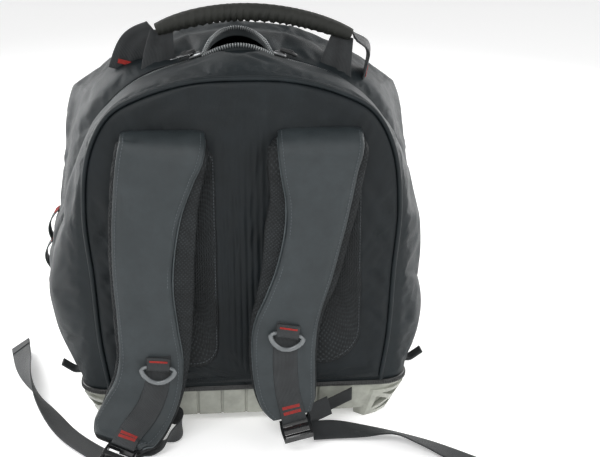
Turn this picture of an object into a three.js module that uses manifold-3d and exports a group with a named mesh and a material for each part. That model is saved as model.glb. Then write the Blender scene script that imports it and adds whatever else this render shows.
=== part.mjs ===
// A technician's tool backpack, standing on its moulded base and seen by the wearer from -Y.
// Millimetres, +X to the right in that view, +Y towards the bag's front, +Z up.
// The origin is the middle of the flat underside of the base.
import * as THREE from "three";
import { mergeVertices } from "three/addons/utils/BufferGeometryUtils.js";
import Module from "manifold-3d";

const wasm = await Module();
wasm.setup();

// Driving dimensions
const CLEARANCE = 0.3;
const CLOTH = 2;
const BAG_DEPTH = 236;
const REAR_DEPTH = 93;
const ZIP_WIDTH = 8;
const ZIP_THICK = 2;
const CROWN = 400;
const BASE_TOP = { half: 172, deep: 117, corner: 28 };
const WAIST_INSET = { half: 12, deep: 6 };
const SOLE_INSET = { half: 34, deep: 27 };
const BASE_WAIST = insetPlan(WAIST_INSET, 50);
const BASE_SOLE = insetPlan(SOLE_INSET, 40);
const BASE_HEIGHT = 40;
const BASE_CHAMFER = 10;
const BASE_WALL = 3.5;
const BASE_GROOVE = { pitch: 25.5, width: 3, depth: 2, back: 3, side: 1 };
const RIM = { height: 5.4, inside: 5, outside: 2 };
const GUARD = { width: 54, height: 34, bar: 5, relief: 2.5 };
const BACK_Y = -BAG_DEPTH / 2;
const ZIP_Y = BACK_Y + REAR_DEPTH;
const HEM_Z = BASE_HEIGHT + RIM.height + 2 * CLEARANCE;

function insetPlan(inset, corner) {
  return { half: BASE_TOP.half - inset.half, deep: BASE_TOP.deep - inset.deep, corner };
}

// Seam outlines from the hem up one side to the crown: across is a share of half, up a share of the rise from hem to
// top, and slump is how far the fullest height of the filled bag leans to the left
const PANEL_SEAM = {
  half: 161,
  slump: 0,
  top: CROWN - 25,
  tension: 0.5,
  rows: [
    { across: 0.945, up: 0.17 },
    { across: 0.97, up: 0.38 },
    { across: 1.0, up: 0.577 },
    { across: 0.963, up: 0.758 },
    { across: 0.832, up: 0.888 },
    { across: 0.61, up: 0.952 },
    { across: 0.31, up: 0.992 },
  ],
};
const ZIP_SEAM = {
  half: 197,
  slump: 7,
  top: CROWN - 12,
  tension: 0.5,
  rows: [
    { across: 0.985, up: 0.135 },
    { across: 1.0, up: 0.297 },
    { across: 0.946, up: 0.5 },
    { across: 0.837, up: 0.69 },
    { across: 0.714, up: 0.815 },
    { across: 0.517, up: 0.909 },
    { across: 0.236, up: 0.965 },
  ],
};
const BELLY_SEAM = {
  half: 202,
  slump: 9,
  top: CROWN - 3,
  tension: 0.5,
  rows: [
    { across: 0.985, up: 0.13 },
    { across: 1.0, up: 0.286 },
    { across: 0.948, up: 0.513 },
    { across: 0.876, up: 0.697 },
    { across: 0.786, up: 0.824 },
    { across: 0.562, up: 0.918 },
    { across: 0.262, up: 0.98 },
  ],
};
const SHOULDER_SEAM = {
  half: 197,
  slump: 9,
  top: CROWN,
  tension: 0.12,
  rows: [
    { across: 0.985, up: 0.13 },
    { across: 1.0, up: 0.298 },
    { across: 0.99, up: 0.55 },
    { across: 0.955, up: 0.72 },
    { across: 0.909, up: 0.806 },
    { across: 0.646, up: 0.904 },
    { across: 0.313, up: 0.978 },
  ],
};
const FACE_SEAM = {
  half: 154,
  slump: 4,
  top: CROWN - 42,
  tension: 0.3,
  rows: [
    { across: 0.985, up: 0.147 },
    { across: 1.0, up: 0.34 },
    { across: 0.987, up: 0.596 },
    { across: 0.96, up: 0.756 },
    { across: 0.895, up: 0.853 },
    { across: 0.645, up: 0.942 },
    { across: 0.316, up: 0.987 },
  ],
};

// Depth sections: deep is a share of the compartment's depth, gone how far the outline is between two seams
const REAR_SECTIONS = [
  { deep: 0, from: PANEL_SEAM, to: ZIP_SEAM, gone: 0 },
  { deep: 0.1, from: PANEL_SEAM, to: ZIP_SEAM, gone: 0.38 },
  { deep: 0.34, from: PANEL_SEAM, to: ZIP_SEAM, gone: 0.78 },
  { deep: 0.68, from: PANEL_SEAM, to: ZIP_SEAM, gone: 0.97 },
  { deep: 1, from: PANEL_SEAM, to: ZIP_SEAM, gone: 1 },
];
const FRONT_SECTIONS = [
  { deep: 0, from: ZIP_SEAM, to: BELLY_SEAM, gone: 0 },
  { deep: 0.1, from: ZIP_SEAM, to: BELLY_SEAM, gone: 0.55 },
  { deep: 0.3, from: ZIP_SEAM, to: BELLY_SEAM, gone: 1 },
  { deep: 0.52, from: BELLY_SEAM, to: SHOULDER_SEAM, gone: 0.6 },
  { deep: 0.7, from: BELLY_SEAM, to: SHOULDER_SEAM, gone: 1 },
  { deep: 0.9, from: SHOULDER_SEAM, to: FACE_SEAM, gone: 0.45 },
  { deep: 1, from: SHOULDER_SEAM, to: FACE_SEAM, gone: 1 },
];
const RING_STEPS = 32;
const SLUMP = { up: 0.28, spread: 0.2 };

// The open stretch of the main zip at the crown, its toothed rails, sliders and cord pullers
const MOUTH = { half: 36, rear: 13, front: 42, steps: 8 };
const SLIDER = { long: 14, wide: 9, high: 5, cord: 1.8, loop: 24 };

// The padded back panel with its mesh pads, inside the piping of its seam
const PIPING = 2.4;
const PANEL_PAD = { thick: 6, crown: 4 };
const MESH_PAD = {
  inner: 28,
  outer: 119,
  low: 72,
  below: 1.5,
  thick: 4,
  innerCorner: 22,
  outerCorner: 38,
  topCorner: 10,
};

// Panel pad outline: within is its share of the seam, rise a share of its thickness, swell a share of its crown
const PANEL_RISE = [
  { within: 1, rise: 0, swell: 0 },
  { within: 1, rise: 0.6, swell: 0 },
  { within: 0.975, rise: 0.92, swell: 0.05 },
  { within: 0.9, rise: 1, swell: 0.3 },
  { within: 0.6, rise: 1, swell: 0.8 },
];

// Shoulder straps, their webbing and hardware
const STRAP_ANCHOR_Z = CROWN - 84;
const STRAP_STANDOFF = 32;
const STRAP_WIDTH = 84;
const STRAP_MESH = 8;
const STRAP_PAD = 8;
const STRAP_STEPS = 20;
const WEB = { wide: 25, thick: 1.6 };
const RING_BAR = { radius: 1.8, half: 13.5 };
const RING_BOW = { reach: 16, swell: 3, flat: 1.35 };
const KEEPER_TAB = 10;
const LOCK = { wide: 32, long: 27, thick: 6, rail: 3, bar: 5, lip: 3, gap: 3.5, turns: 6 };
const LOCK_BAR_AT = LOCK.gap + LOCK.bar / 2;
const LOCK_TURN = Math.hypot(LOCK.bar, LOCK.thick) / 2 + CLEARANCE + WEB.thick / 2;

// Strap routes: height is a share of STRAP_ANCHOR_Z, out of STRAP_STANDOFF, the widths of STRAP_WIDTH, roll in degrees
const STRAP_LEFT = [
  { height: 1, out: 0.12, across: -0.93, face: 0.98, inner: 0.02, outer: 0.02, roll: 0 },
  { height: 1, out: 0.41, across: -0.93, face: 0.98, inner: 0.03, outer: 0.03, roll: 0 },
  { height: 0.978, out: 0.83, across: -0.94, face: 0.98, inner: 0.05, outer: 0.04, roll: 0 },
  { height: 0.924, out: 1, across: -1.01, face: 0.92, inner: 0.1, outer: 0.05, roll: -4 },
  { height: 0.804, out: 1, across: -1.12, face: 0.81, inner: 0.18, outer: 0.06, roll: -8 },
  { height: 0.655, out: 1, across: -1.19, face: 0.74, inner: 0.23, outer: 0.06, roll: -10 },
  { height: 0.522, out: 1, across: -1.2, face: 0.7, inner: 0.24, outer: 0.06, roll: -10 },
  { height: 0.396, out: 1.02, across: -1.17, face: 0.72, inner: 0.17, outer: 0.06, roll: -7 },
  { height: 0.285, out: 1.06, across: -1.15, face: 0.76, inner: 0.08, outer: 0.05, roll: -3 },
  { height: 0.19, out: 1.17, across: -1.22, face: 0.8, inner: 0.04, outer: 0.04, roll: 0 },
  { height: 0.12, out: 1.4, across: -1.36, face: 0.82, inner: 0.03, outer: 0.03, roll: 0 },
  { height: 0.076, out: 1.78, across: -1.5, face: 0.78, inner: 0.02, outer: 0.02, roll: 0 },
  { height: 0.057, out: 2.05, across: -1.56, face: 0.58, inner: 0.01, outer: 0.01, roll: 0 },
];
const STRAP_RIGHT = [
  { height: 1, out: 0.12, across: 0.9, face: 1, inner: 0.02, outer: 0.02, roll: 0 },
  { height: 1, out: 0.41, across: 0.9, face: 1, inner: 0.05, outer: 0.04, roll: 0 },
  { height: 0.978, out: 0.83, across: 0.89, face: 1, inner: 0.1, outer: 0.07, roll: 0 },
  { height: 0.924, out: 1, across: 0.87, face: 0.93, inner: 0.14, outer: 0.1, roll: 3 },
  { height: 0.813, out: 1, across: 0.86, face: 0.79, inner: 0.18, outer: 0.11, roll: 6 },
  { height: 0.696, out: 1, across: 0.8, face: 0.71, inner: 0.23, outer: 0.11, roll: 8 },
  { height: 0.563, out: 1, across: 0.68, face: 0.69, inner: 0.17, outer: 0.1, roll: 7 },
  { height: 0.468, out: 1.02, across: 0.56, face: 0.71, inner: 0.1, outer: 0.06, roll: 5 },
  { height: 0.38, out: 1.05, across: 0.46, face: 0.77, inner: 0.04, outer: 0.04, roll: 2 },
  { height: 0.285, out: 1.1, across: 0.44, face: 0.76, inner: 0.03, outer: 0.03, roll: 0 },
  { height: 0.19, out: 1.2, across: 0.46, face: 0.72, inner: 0.03, outer: 0.03, roll: 0 },
  { height: 0.133, out: 1.3, across: 0.5, face: 0.64, inner: 0.02, outer: 0.02, roll: 0 },
  { height: 0.098, out: 1.4, across: 0.53, face: 0.48, inner: 0.01, outer: 0.01, roll: 0 },
];

// Webbing tails from under the lock to the free tip: aside, back and lift are shares of TAIL_REACH, turn is in degrees
const TAIL_REACH = 300;
const TAIL_LEFT = [
  { aside: -0.01, back: 0.02, lift: 0.0115, turn: 0 },
  { aside: -0.09, back: 0.11, lift: 0.008, turn: 4 },
  { aside: -0.19, back: 0.24, lift: 0.012, turn: 10 },
  { aside: -0.28, back: 0.41, lift: 0.032, turn: 34 },
  { aside: -0.355, back: 0.6, lift: 0.048, turn: 88 },
  { aside: -0.41, back: 0.8, lift: 0.036, turn: 136 },
  { aside: -0.45, back: 1.0, lift: 0.03, turn: 150 },
];
const TAIL_RIGHT = [
  { aside: 0.061, back: 0.075, lift: 0.03, turn: 24 },
  { aside: 0.14, back: 0.08, lift: 0.028, turn: 22 },
  { aside: 0.24, back: 0.07, lift: 0.022, turn: 2 },
  { aside: 0.35, back: 0.035, lift: 0.026, turn: -24 },
  { aside: 0.44, back: -0.03, lift: 0.02, turn: -16 },
  { aside: 0.54, back: -0.12, lift: 0.008, turn: -2 },
  { aside: 0.64, back: -0.22, lift: 0.004, turn: 0 },
];

// Lower webbing from the wing on the base to the back of the lock: shares of LOWER_REACH, aside and out from the
// wing's tip, up from the floor; flat turns it from standing on its edge to lying level
const LOWER_REACH = 60;
const LOWER_LEFT = [
  { aside: 0.02, out: 0.16, up: 0.24, flat: 0 },
  { aside: -0.12, out: 0.36, up: 0.21, flat: 0.3 },
  { aside: -0.42, out: 0.52, up: 0.1, flat: 0.9 },
  { aside: -0.72, out: 0.62, up: 0.05, flat: 1 },
];
const LOWER_RIGHT = [
  { aside: 0.14, out: 0.1, up: 0.31, flat: 0.2 },
  { aside: 0.26, out: 0.3, up: 0.3, flat: 0.8 },
];

// Sides: the sign of x, the strap's route, the D-ring's height as a share of STRAP_ANCHOR_Z, the webbing's shift on the
// strap as a share of STRAP_WIDTH and the lock's tilt
const SIDES = [
  {
    name: "left",
    sign: -1,
    route: STRAP_LEFT,
    ring: 0.285,
    webShift: 0.095,
    lockTilt: 8,
    tail: TAIL_LEFT,
    lower: LOWER_LEFT,
  },
  {
    name: "right",
    sign: 1,
    route: STRAP_RIGHT,
    ring: 0.383,
    webShift: 0.012,
    lockTilt: 56,
    tail: TAIL_RIGHT,
    lower: LOWER_RIGHT,
  },
];

// Padded carrying handle over the zip, and its webbing legs: shares of LEG_DROP from the grip's end, outwards and down
const HANDLE = {
  y: -14,
  radius: 10,
  left: -84,
  right: 120,
  leftZ: CROWN + 5,
  rightZ: CROWN - 3,
  middle: 14,
  middleZ: CROWN + 22,
};
const LEG_DROP = 56;
const LEG = { top: 24, foot: 40, thick: 2.2, steps: 6 };
const LEGS = [
  { side: "left", name: "inner", topX: -0.1, kneeX: -0.04, kneeZ: 0.45, footX: 0, footY: 0.02, edge: 0 },
  { side: "left", name: "outer", topX: 0.05, kneeX: 0.42, kneeZ: 0.3, footX: 0.66, footY: 0.5, edge: 0 },
  { side: "right", name: "inner", topX: -0.16, kneeX: -0.26, kneeZ: 0.45, footX: -0.34, footY: 0.02, edge: 0 },
  { side: "right", name: "outer", topX: 0.06, kneeX: 0.36, kneeZ: 0.3, footX: 0.3, footY: 0.46, edge: 0.85 },
];

// Low side tabs, the side webbing with its loops and the lower strap anchors
const TAB = { y: -68, lift: 1, reach: 23, rise: 9, wide: 16 };
const SIDE_WEB = { y: 32, wide: 20, low: 96, high: 200, loops: 3, bulge: 7 };
const WING = { inner: 72, outer: 112, high: 41, low: 26, reach: 14, thick: 3, droop: 12 };

const X_AXIS = new THREE.Vector3(1, 0, 0);
const Y_AXIS = new THREE.Vector3(0, 1, 0);
const Z_AXIS = new THREE.Vector3(0, 0, 1);

// Solids from triangles, kept with their faces pointing out
function solidFrom(points, faces) {
  let volume = 0;
  for (let at = 0; at < faces.length; at += 3) {
    const a = points[faces[at]];
    const b = points[faces[at + 1]];
    const c = points[faces[at + 2]];
    volume += a.dot(new THREE.Vector3().crossVectors(b, c));
  }
  const turned = volume < 0 ? faces.slice().reverse() : faces;
  const vertProperties = new Float32Array(points.flatMap((point) => [point.x, point.y, point.z]));
  const triVerts = new Uint32Array(turned);
  return new wasm.Manifold(new wasm.Mesh({ numProp: 3, vertProperties, triVerts }));
}

function solidFromGeometry(geometry) {
  const bare = geometry.clone();
  bare.deleteAttribute("normal");
  bare.deleteAttribute("uv");
  const merged = mergeVertices(bare);
  const place = merged.getAttribute("position");
  const points = [];
  for (let at = 0; at < place.count; at += 1) {
    points.push(new THREE.Vector3().fromBufferAttribute(place, at));
  }
  const faces = [];
  for (let at = 0; at < merged.index.count; at += 3) {
    const corners = [0, 1, 2].map((step) => merged.index.getX(at + step));
    if (new Set(corners).size === 3) faces.push(...corners);
  }
  return solidFrom(points, faces);
}

// Quads between rings, split the same way on both faces of a ribbon so that its thickness holds where it twists
function bandFaces(rings, closed) {
  const count = rings[0].length;
  const faces = [];
  const last = closed ? rings.length : rings.length - 1;
  for (let ring = 0; ring < last; ring += 1) {
    const next = (ring + 1) % rings.length;
    for (let at = 0; at < count; at += 1) {
      const beside = (at + 1) % count;
      const a = ring * count + at;
      const b = ring * count + beside;
      const c = next * count + beside;
      const d = next * count + at;
      if (at < count / 2) faces.push(a, b, c, a, c, d);
      else faces.push(a, b, d, b, c, d);
    }
  }
  return faces;
}

// A closed solid through equal rings, with a fan over each end
function loft(rings) {
  const count = rings[0].length;
  const points = rings.flat();
  const faces = bandFaces(rings, false);
  const ends = [
    { start: 0, flip: true },
    { start: (rings.length - 1) * count, flip: false },
  ];
  for (const end of ends) {
    const middle = new THREE.Vector3();
    for (let at = 0; at < count; at += 1) middle.add(points[end.start + at]);
    points.push(middle.divideScalar(count));
    const hub = points.length - 1;
    for (let at = 0; at < count; at += 1) {
      const here = end.start + at;
      const beside = end.start + ((at + 1) % count);
      if (end.flip) faces.push(hub, beside, here);
      else faces.push(hub, here, beside);
    }
  }
  return solidFrom(points, faces);
}

// A closed hoop through equal rings
function hoop(rings) {
  return solidFrom(rings.flat(), bandFaces(rings, true));
}

function meshFrom(name, solid, material) {
  const { vertProperties, triVerts } = solid.getMesh();
  const geometry = new THREE.BufferGeometry();
  geometry.setAttribute("position", new THREE.BufferAttribute(new Float32Array(vertProperties), 3));
  geometry.setIndex(new THREE.BufferAttribute(new Uint32Array(triVerts), 1));
  geometry.computeVertexNormals();
  const mesh = new THREE.Mesh(geometry, material);
  mesh.name = name;
  return mesh;
}

// Materials
const nylon = () => new THREE.MeshStandardMaterial({ color: 0x2b3034, roughness: 0.62, metalness: 0 });
const airMesh = () => new THREE.MeshStandardMaterial({ color: 0x17191b, roughness: 0.85, metalness: 0 });
const webbing = () => new THREE.MeshStandardMaterial({ color: 0x1e2022, roughness: 0.7, metalness: 0 });
const rubber = () => new THREE.MeshStandardMaterial({ color: 0x2e302e, roughness: 0.5, metalness: 0 });
const acetal = () => new THREE.MeshStandardMaterial({ color: 0x131416, roughness: 0.25, metalness: 0 });
const greyAcetal = () => new THREE.MeshStandardMaterial({ color: 0x8d9092, roughness: 0.3, metalness: 0 });
const zipTeeth = () => new THREE.MeshStandardMaterial({ color: 0x9a9da0, roughness: 0.35, metalness: 0.4 });
const gatheredCloth = () => new THREE.MeshStandardMaterial({ color: 0x26261f, roughness: 0.8, metalness: 0 });

// Seam outlines as points at one depth
function hemHalf(y) {
  const straight = BASE_TOP.deep - BASE_TOP.corner;
  const past = THREE.MathUtils.clamp(Math.abs(y) - straight, 0, BASE_TOP.corner);
  return BASE_TOP.half - BASE_TOP.corner + Math.sqrt(BASE_TOP.corner ** 2 - past ** 2);
}

function seamPoints(seam, y) {
  const rise = seam.top - HEM_Z;
  const sides = [1, -1].map((sign) => {
    const points = seam.rows.map((row) => {
      const fullness = Math.max(0, 1 - Math.abs(row.up - SLUMP.up) / SLUMP.spread);
      const x = sign * row.across * seam.half - fullness * seam.slump;
      return new THREE.Vector3(x, y, HEM_Z + row.up * rise);
    });
    points.unshift(new THREE.Vector3(sign * hemHalf(y), y, HEM_Z));
    return points;
  });
  const right = sides[0];
  const left = sides[1].reverse();
  const crown = new THREE.Vector3(0, y, seam.top);
  const curve = new THREE.CatmullRomCurve3([...right, crown, ...left], false, "catmullrom", seam.tension);
  return curve.getPoints(RING_STEPS);
}

function sectionRing(section, y) {
  const from = seamPoints(section.from, y);
  const to = seamPoints(section.to, y);
  return from.map((point, at) => point.clone().lerp(to[at], section.gone));
}

const REAR_RINGS = REAR_SECTIONS.map((section) => {
  const end = REAR_DEPTH - ZIP_WIDTH / 2;
  return sectionRing(section, BACK_Y + section.deep * end);
});
const FRONT_RINGS = FRONT_SECTIONS.map((section) => {
  const start = ZIP_Y + ZIP_WIDTH / 2;
  return sectionRing(section, start + section.deep * (BAG_DEPTH / 2 - start));
});

// The outline of the whole bag at any depth, straight between its sections
function ringAt(y) {
  const rings = [...REAR_RINGS, ...FRONT_RINGS];
  let at = 0;
  while (at < rings.length - 2 && rings[at + 1][0].y < y) at += 1;
  const near = rings[at];
  const far = rings[at + 1];
  const share = THREE.MathUtils.clamp((y - near[0].y) / (far[0].y - near[0].y), 0, 1);
  return near.map((point, index) => new THREE.Vector3().lerpVectors(point, far[index], share).setY(y));
}

function topAt(x, y) {
  const ring = ringAt(y);
  for (let at = 1; at < ring.length; at += 1) {
    const before = ring[at - 1];
    const after = ring[at];
    if (after.z > HEM_Z + MESH_PAD.low && before.x >= x && after.x < x) {
      return THREE.MathUtils.lerp(before.z, after.z, (before.x - x) / (before.x - after.x));
    }
  }
  return ring[RING_STEPS / 2].z;
}

function sideAt(z, y) {
  const ring = ringAt(y);
  for (let at = 1; at < ring.length; at += 1) {
    const before = ring[at - 1];
    const after = ring[at];
    if (before.z <= z && after.z > z) {
      return THREE.MathUtils.lerp(before.x, after.x, (z - before.z) / (after.z - before.z));
    }
  }
  return ring[0].x;
}

function leftAt(z, y) {
  const ring = ringAt(y);
  for (let at = ring.length - 1; at > 0; at -= 1) {
    const before = ring[at];
    const after = ring[at - 1];
    if (before.z <= z && after.z > z) {
      return THREE.MathUtils.lerp(before.x, after.x, (z - before.z) / (after.z - before.z));
    }
  }
  return ring[ring.length - 1].x;
}

// Rings moved along their surface's normal, out for a positive distance
function movedRings(rings, distance) {
  return rings.map((ring, row) => {
    const before = rings[Math.max(row - 1, 0)];
    const after = rings[Math.min(row + 1, rings.length - 1)];
    return ring.map((point, at) => {
      const along = ring[Math.min(at + 1, ring.length - 1)].clone().sub(ring[Math.max(at - 1, 0)]);
      const deep = after[at].clone().sub(before[at]);
      const normal = deep.cross(along).normalize();
      return point.clone().addScaledVector(normal, distance);
    });
  });
}

function flatRing(ring, distance, y) {
  return ring.map((point, at) => {
    const along = ring[Math.min(at + 1, ring.length - 1)].clone().sub(ring[Math.max(at - 1, 0)]);
    const normal = Y_AXIS.clone().cross(along).normalize();
    return point.clone().addScaledVector(normal, distance).setY(y);
  });
}

function belowHem(ring) {
  const drop = HEM_Z - RIM.height;
  const first = ring[0].clone().setZ(drop);
  const last = ring[ring.length - 1].clone().setZ(drop);
  return [first, ...ring, last];
}

// A cloth tub: the outline's solid less its inside, open towards the zip and at the hem
function clothTub(rings, closedAt) {
  const inside = movedRings(rings, -CLOTH);
  const openAt = closedAt === 0 ? rings.length - 1 : 0;
  const inward = closedAt === 0 ? 1 : -1;
  const closedY = rings[closedAt][0].y + inward * CLOTH;
  const openY = rings[openAt][0].y + inward * CLOTH;
  inside[closedAt] = flatRing(rings[closedAt], -CLOTH, closedY);
  inside[openAt] = flatRing(rings[openAt], -CLOTH, openY);
  return loft(rings).subtract(loft(inside.map(belowHem)));
}

// The zip mouth: a lens in plan, right through the crown
function mouthEdge(share, side) {
  const swell = side < 0 ? MOUTH.rear : MOUTH.front;
  const x = MOUTH.half * (1 - 2 * share);
  const y = ZIP_Y + side * (ZIP_WIDTH / 2 + swell * (1 - (1 - 2 * share) ** 2));
  return { x, y };
}

function mouthCut() {
  const outline = [];
  for (let at = 0; at <= MOUTH.steps; at += 1) outline.push(mouthEdge(at / MOUTH.steps, 1));
  for (let at = MOUTH.steps; at >= 0; at -= 1) outline.push(mouthEdge(at / MOUTH.steps, -1));
  const low = ZIP_SEAM.top - HEM_Z;
  const high = SHOULDER_SEAM.top + HEM_Z;
  return loft([low, high].map((z) => outline.map((point) => new THREE.Vector3(point.x, point.y, z))));
}

function shells() {
  const mouth = mouthCut();
  const rear = clothTub(REAR_RINGS, 0).subtract(mouth);
  const front = clothTub(FRONT_RINGS, FRONT_RINGS.length - 1).subtract(mouth);
  return [meshFrom("rear_shell", rear, nylon()), meshFrom("front_shell", front, nylon())];
}

// The rear and front compartments as full solids grown by the clearance, to trim what is sewn on them
const BAG_TRIM = loft(movedRings([...REAR_RINGS, ...FRONT_RINGS], CLEARANCE));

// A section swept along part of an outline, with out across the surface and deep along Y
function archSweep(ring, section) {
  return loft(
    ring.map((point, at) => {
      const along = ring[Math.min(at + 1, ring.length - 1)].clone().sub(ring[Math.max(at - 1, 0)]);
      const normal = Y_AXIS.clone().cross(along).normalize();
      return section.map((corner) => {
        const place = point.clone().addScaledVector(normal, corner.out);
        return place.addScaledVector(Y_AXIS, corner.deep);
      });
    }),
  );
}

function roundSection(radius, sides) {
  return Array.from({ length: sides }, (_, at) => {
    const angle = (2 * Math.PI * at) / sides;
    return { out: radius * Math.cos(angle), deep: radius * Math.sin(angle) };
  });
}

function panelPiping() {
  const ring = flatRing(REAR_RINGS[0], -PIPING, BACK_Y - PIPING - CLEARANCE);
  return meshFrom("panel_piping", archSweep(ring, roundSection(PIPING, 6)), nylon());
}

// Main zip: closed chains down both sides of the mouth
function zipChains() {
  const section = [
    { out: -ZIP_THICK, deep: -ZIP_WIDTH / 2 + CLEARANCE },
    { out: -ZIP_THICK, deep: ZIP_WIDTH / 2 - CLEARANCE },
    { out: 0, deep: ZIP_WIDTH / 2 - CLEARANCE },
    { out: 0, deep: -ZIP_WIDTH / 2 + CLEARANCE },
  ];
  const ring = ringAt(ZIP_Y);
  const end = MOUTH.half + CLEARANCE;
  const right = ring.filter((point) => point.x > end);
  right.push(new THREE.Vector3(end, ZIP_Y, topAt(end, ZIP_Y)));
  const left = ring.filter((point) => point.x < -end);
  left.unshift(new THREE.Vector3(-end, ZIP_Y, topAt(-end, ZIP_Y)));
  return [
    meshFrom("zip_chain_left", archSweep(left, section), zipTeeth()),
    meshFrom("zip_chain_right", archSweep(right, section), zipTeeth()),
  ];
}

// The parted teeth along the mouth's two edges
function zipRails() {
  const wide = ZIP_WIDTH / 2 - CLEARANCE;
  return [
    { name: "zip_rail_rear", side: -1 },
    { name: "zip_rail_front", side: 1 },
  ].map(({ name, side }) => {
    const rings = [];
    for (let at = 0; at <= MOUTH.steps; at += 1) {
      const edge = mouthEdge(at / MOUTH.steps, side);
      const x = THREE.MathUtils.clamp(edge.x, -MOUTH.half + CLEARANCE, MOUTH.half - CLEARANCE);
      const outer = edge.y - side * CLEARANCE;
      const inner = outer - side * wide;
      const top = topAt(x, edge.y);
      rings.push([
        new THREE.Vector3(x, outer, top - ZIP_THICK),
        new THREE.Vector3(x, inner, top - ZIP_THICK),
        new THREE.Vector3(x, inner, top),
        new THREE.Vector3(x, outer, top),
      ]);
    }
    return meshFrom(name, loft(rings), zipTeeth());
  });
}

// A bevelled bar between two heights, for slider bodies
function taperedBlock(frame, long, wide, high) {
  const rings = [
    { up: 0, size: 1 },
    { up: 0.6, size: 1 },
    { up: 1, size: 0.7 },
  ].map((row) => {
    const corners = [
      [-1, -1],
      [1, -1],
      [1, 1],
      [-1, 1],
    ];
    return corners.map(([u, v]) => {
      const place = new THREE.Vector3((u * long * row.size) / 2, (v * wide * row.size) / 2, high * row.up);
      return place.applyMatrix4(frame);
    });
  });
  return loft(rings);
}

function box(frame, long, wide, high) {
  const corners = [
    [-1, -1],
    [1, -1],
    [1, 1],
    [-1, 1],
  ];
  const rings = [0, high].map((z) => {
    return corners.map(([u, v]) => new THREE.Vector3((u * long) / 2, (v * wide) / 2, z).applyMatrix4(frame));
  });
  return loft(rings);
}

function slidersAndPulls() {
  return SIDES.flatMap(({ name, sign }) => {
    const x = sign * (MOUTH.half + CLEARANCE + SLIDER.long / 2);
    const slope = (topAt(x + sign, ZIP_Y) - topAt(x - sign, ZIP_Y)) / (2 * sign);
    const lift = CLEARANCE + Math.abs(slope) * CLEARANCE;
    const frame = new THREE.Matrix4()
      .makeTranslation(x, ZIP_Y, topAt(x, ZIP_Y) + lift)
      .multiply(new THREE.Matrix4().makeRotationY(-Math.atan(slope)));
    const slider = taperedBlock(frame, SLIDER.long, SLIDER.wide, SLIDER.high);
    const half = SLIDER.loop / 2;
    const rise = SLIDER.high + SLIDER.cord + CLEARANCE;
    const route = [
      [0, 0, 0],
      [0.45, 0.3, 0],
      [1, 0.32, -0.05],
      [1.35, 0, -0.12],
      [1, -0.32, -0.05],
      [0.45, -0.3, 0],
    ].map(([along, aside, up]) => {
      const place = new THREE.Vector3(sign * along * half, aside * half, rise + up * half);
      return place.applyMatrix4(frame);
    });
    const curve = new THREE.CatmullRomCurve3(route, true);
    const pull = closedTube(curve, 16, () => ({ along: SLIDER.cord, across: SLIDER.cord }), 6);
    return [meshFrom(`zip_slider_${name}`, slider, acetal()), meshFrom(`zip_pull_${name}`, pull, acetal())];
  });
}

// A closed tube round a curve with an oval section, flat to the plane of its first turn
function closedTube(curve, steps, sizeAt, sides) {
  const frames = curve.computeFrenetFrames(steps, true);
  const rings = [];
  for (let at = 0; at < steps; at += 1) {
    const share = at / steps;
    const middle = curve.getPointAt(share);
    const size = sizeAt(share);
    rings.push(
      roundSection(1, sides).map((corner) => {
        const place = middle.clone().addScaledVector(frames.normals[at], corner.out * size.across);
        return place.addScaledVector(frames.binormals[at], corner.deep * size.along);
      }),
    );
  }
  return hoop(rings);
}

// Padded back panel
function insetOutline(outline, distance) {
  return outline.map((point, at) => {
    const before = outline[(at + outline.length - 1) % outline.length];
    const after = outline[(at + 1) % outline.length];
    const first = Y_AXIS.clone().cross(point.clone().sub(before)).normalize();
    const second = Y_AXIS.clone().cross(after.clone().sub(point)).normalize();
    const normal = first.clone().add(second).normalize();
    return point.clone().addScaledVector(normal, -distance / normal.dot(first));
  });
}

function panelDome(start, extra) {
  const outline = insetOutline(REAR_RINGS[0], 2 * PIPING + CLEARANCE);
  const middle = new THREE.Vector3(0, BACK_Y, (PANEL_SEAM.top + HEM_Z) / 2);
  return loft(
    PANEL_RISE.map((row, at) => {
      const out = at === 0 ? start : CLEARANCE + row.rise * PANEL_PAD.thick + row.swell * PANEL_PAD.crown + extra;
      return outline.map((point) => middle.clone().lerp(point, row.within).setY(BACK_Y - out));
    }),
  );
}

function padShape() {
  const shape = new THREE.Shape();
  const { inner, outer, low, innerCorner, outerCorner, topCorner } = MESH_PAD;
  const high = STRAP_ANCHOR_Z - STRAP_MESH - MESH_PAD.below;
  shape.moveTo(inner, high - topCorner);
  shape.absarc(inner + innerCorner, low + innerCorner, innerCorner, Math.PI, 1.5 * Math.PI, false);
  shape.absarc(outer - outerCorner, low + outerCorner, outerCorner, -0.5 * Math.PI, 0, false);
  shape.absarc(outer - topCorner, high - topCorner, topCorner, 0, 0.5 * Math.PI, false);
  shape.absarc(inner + topCorner, high - topCorner, topCorner, 0.5 * Math.PI, Math.PI, false);
  return shape;
}

function backPanel() {
  const pad = panelDome(CLEARANCE, 0);
  const below = panelDome(0, CLEARANCE);
  const above = panelDome(0, CLEARANCE + MESH_PAD.thick);
  const depth = 2 * (PANEL_PAD.thick + PANEL_PAD.crown + MESH_PAD.thick);
  const prism = new THREE.ExtrudeGeometry(padShape(), { depth, bevelEnabled: false, curveSegments: 5 });
  prism.rotateX(Math.PI / 2).translate(0, BACK_Y, 0);
  const [left, right] = [-1, 1].map((sign) => {
    const slab = solidFromGeometry(prism.clone().scale(sign, 1, 1));
    return above.intersect(slab).subtract(below);
  });
  return [
    meshFrom("back_panel", pad, nylon()),
    meshFrom("mesh_pad_left", left, airMesh()),
    meshFrom("mesh_pad_right", right, airMesh()),
  ];
}
const PANEL_TRIM = panelDome(0, CLEARANCE);

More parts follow.
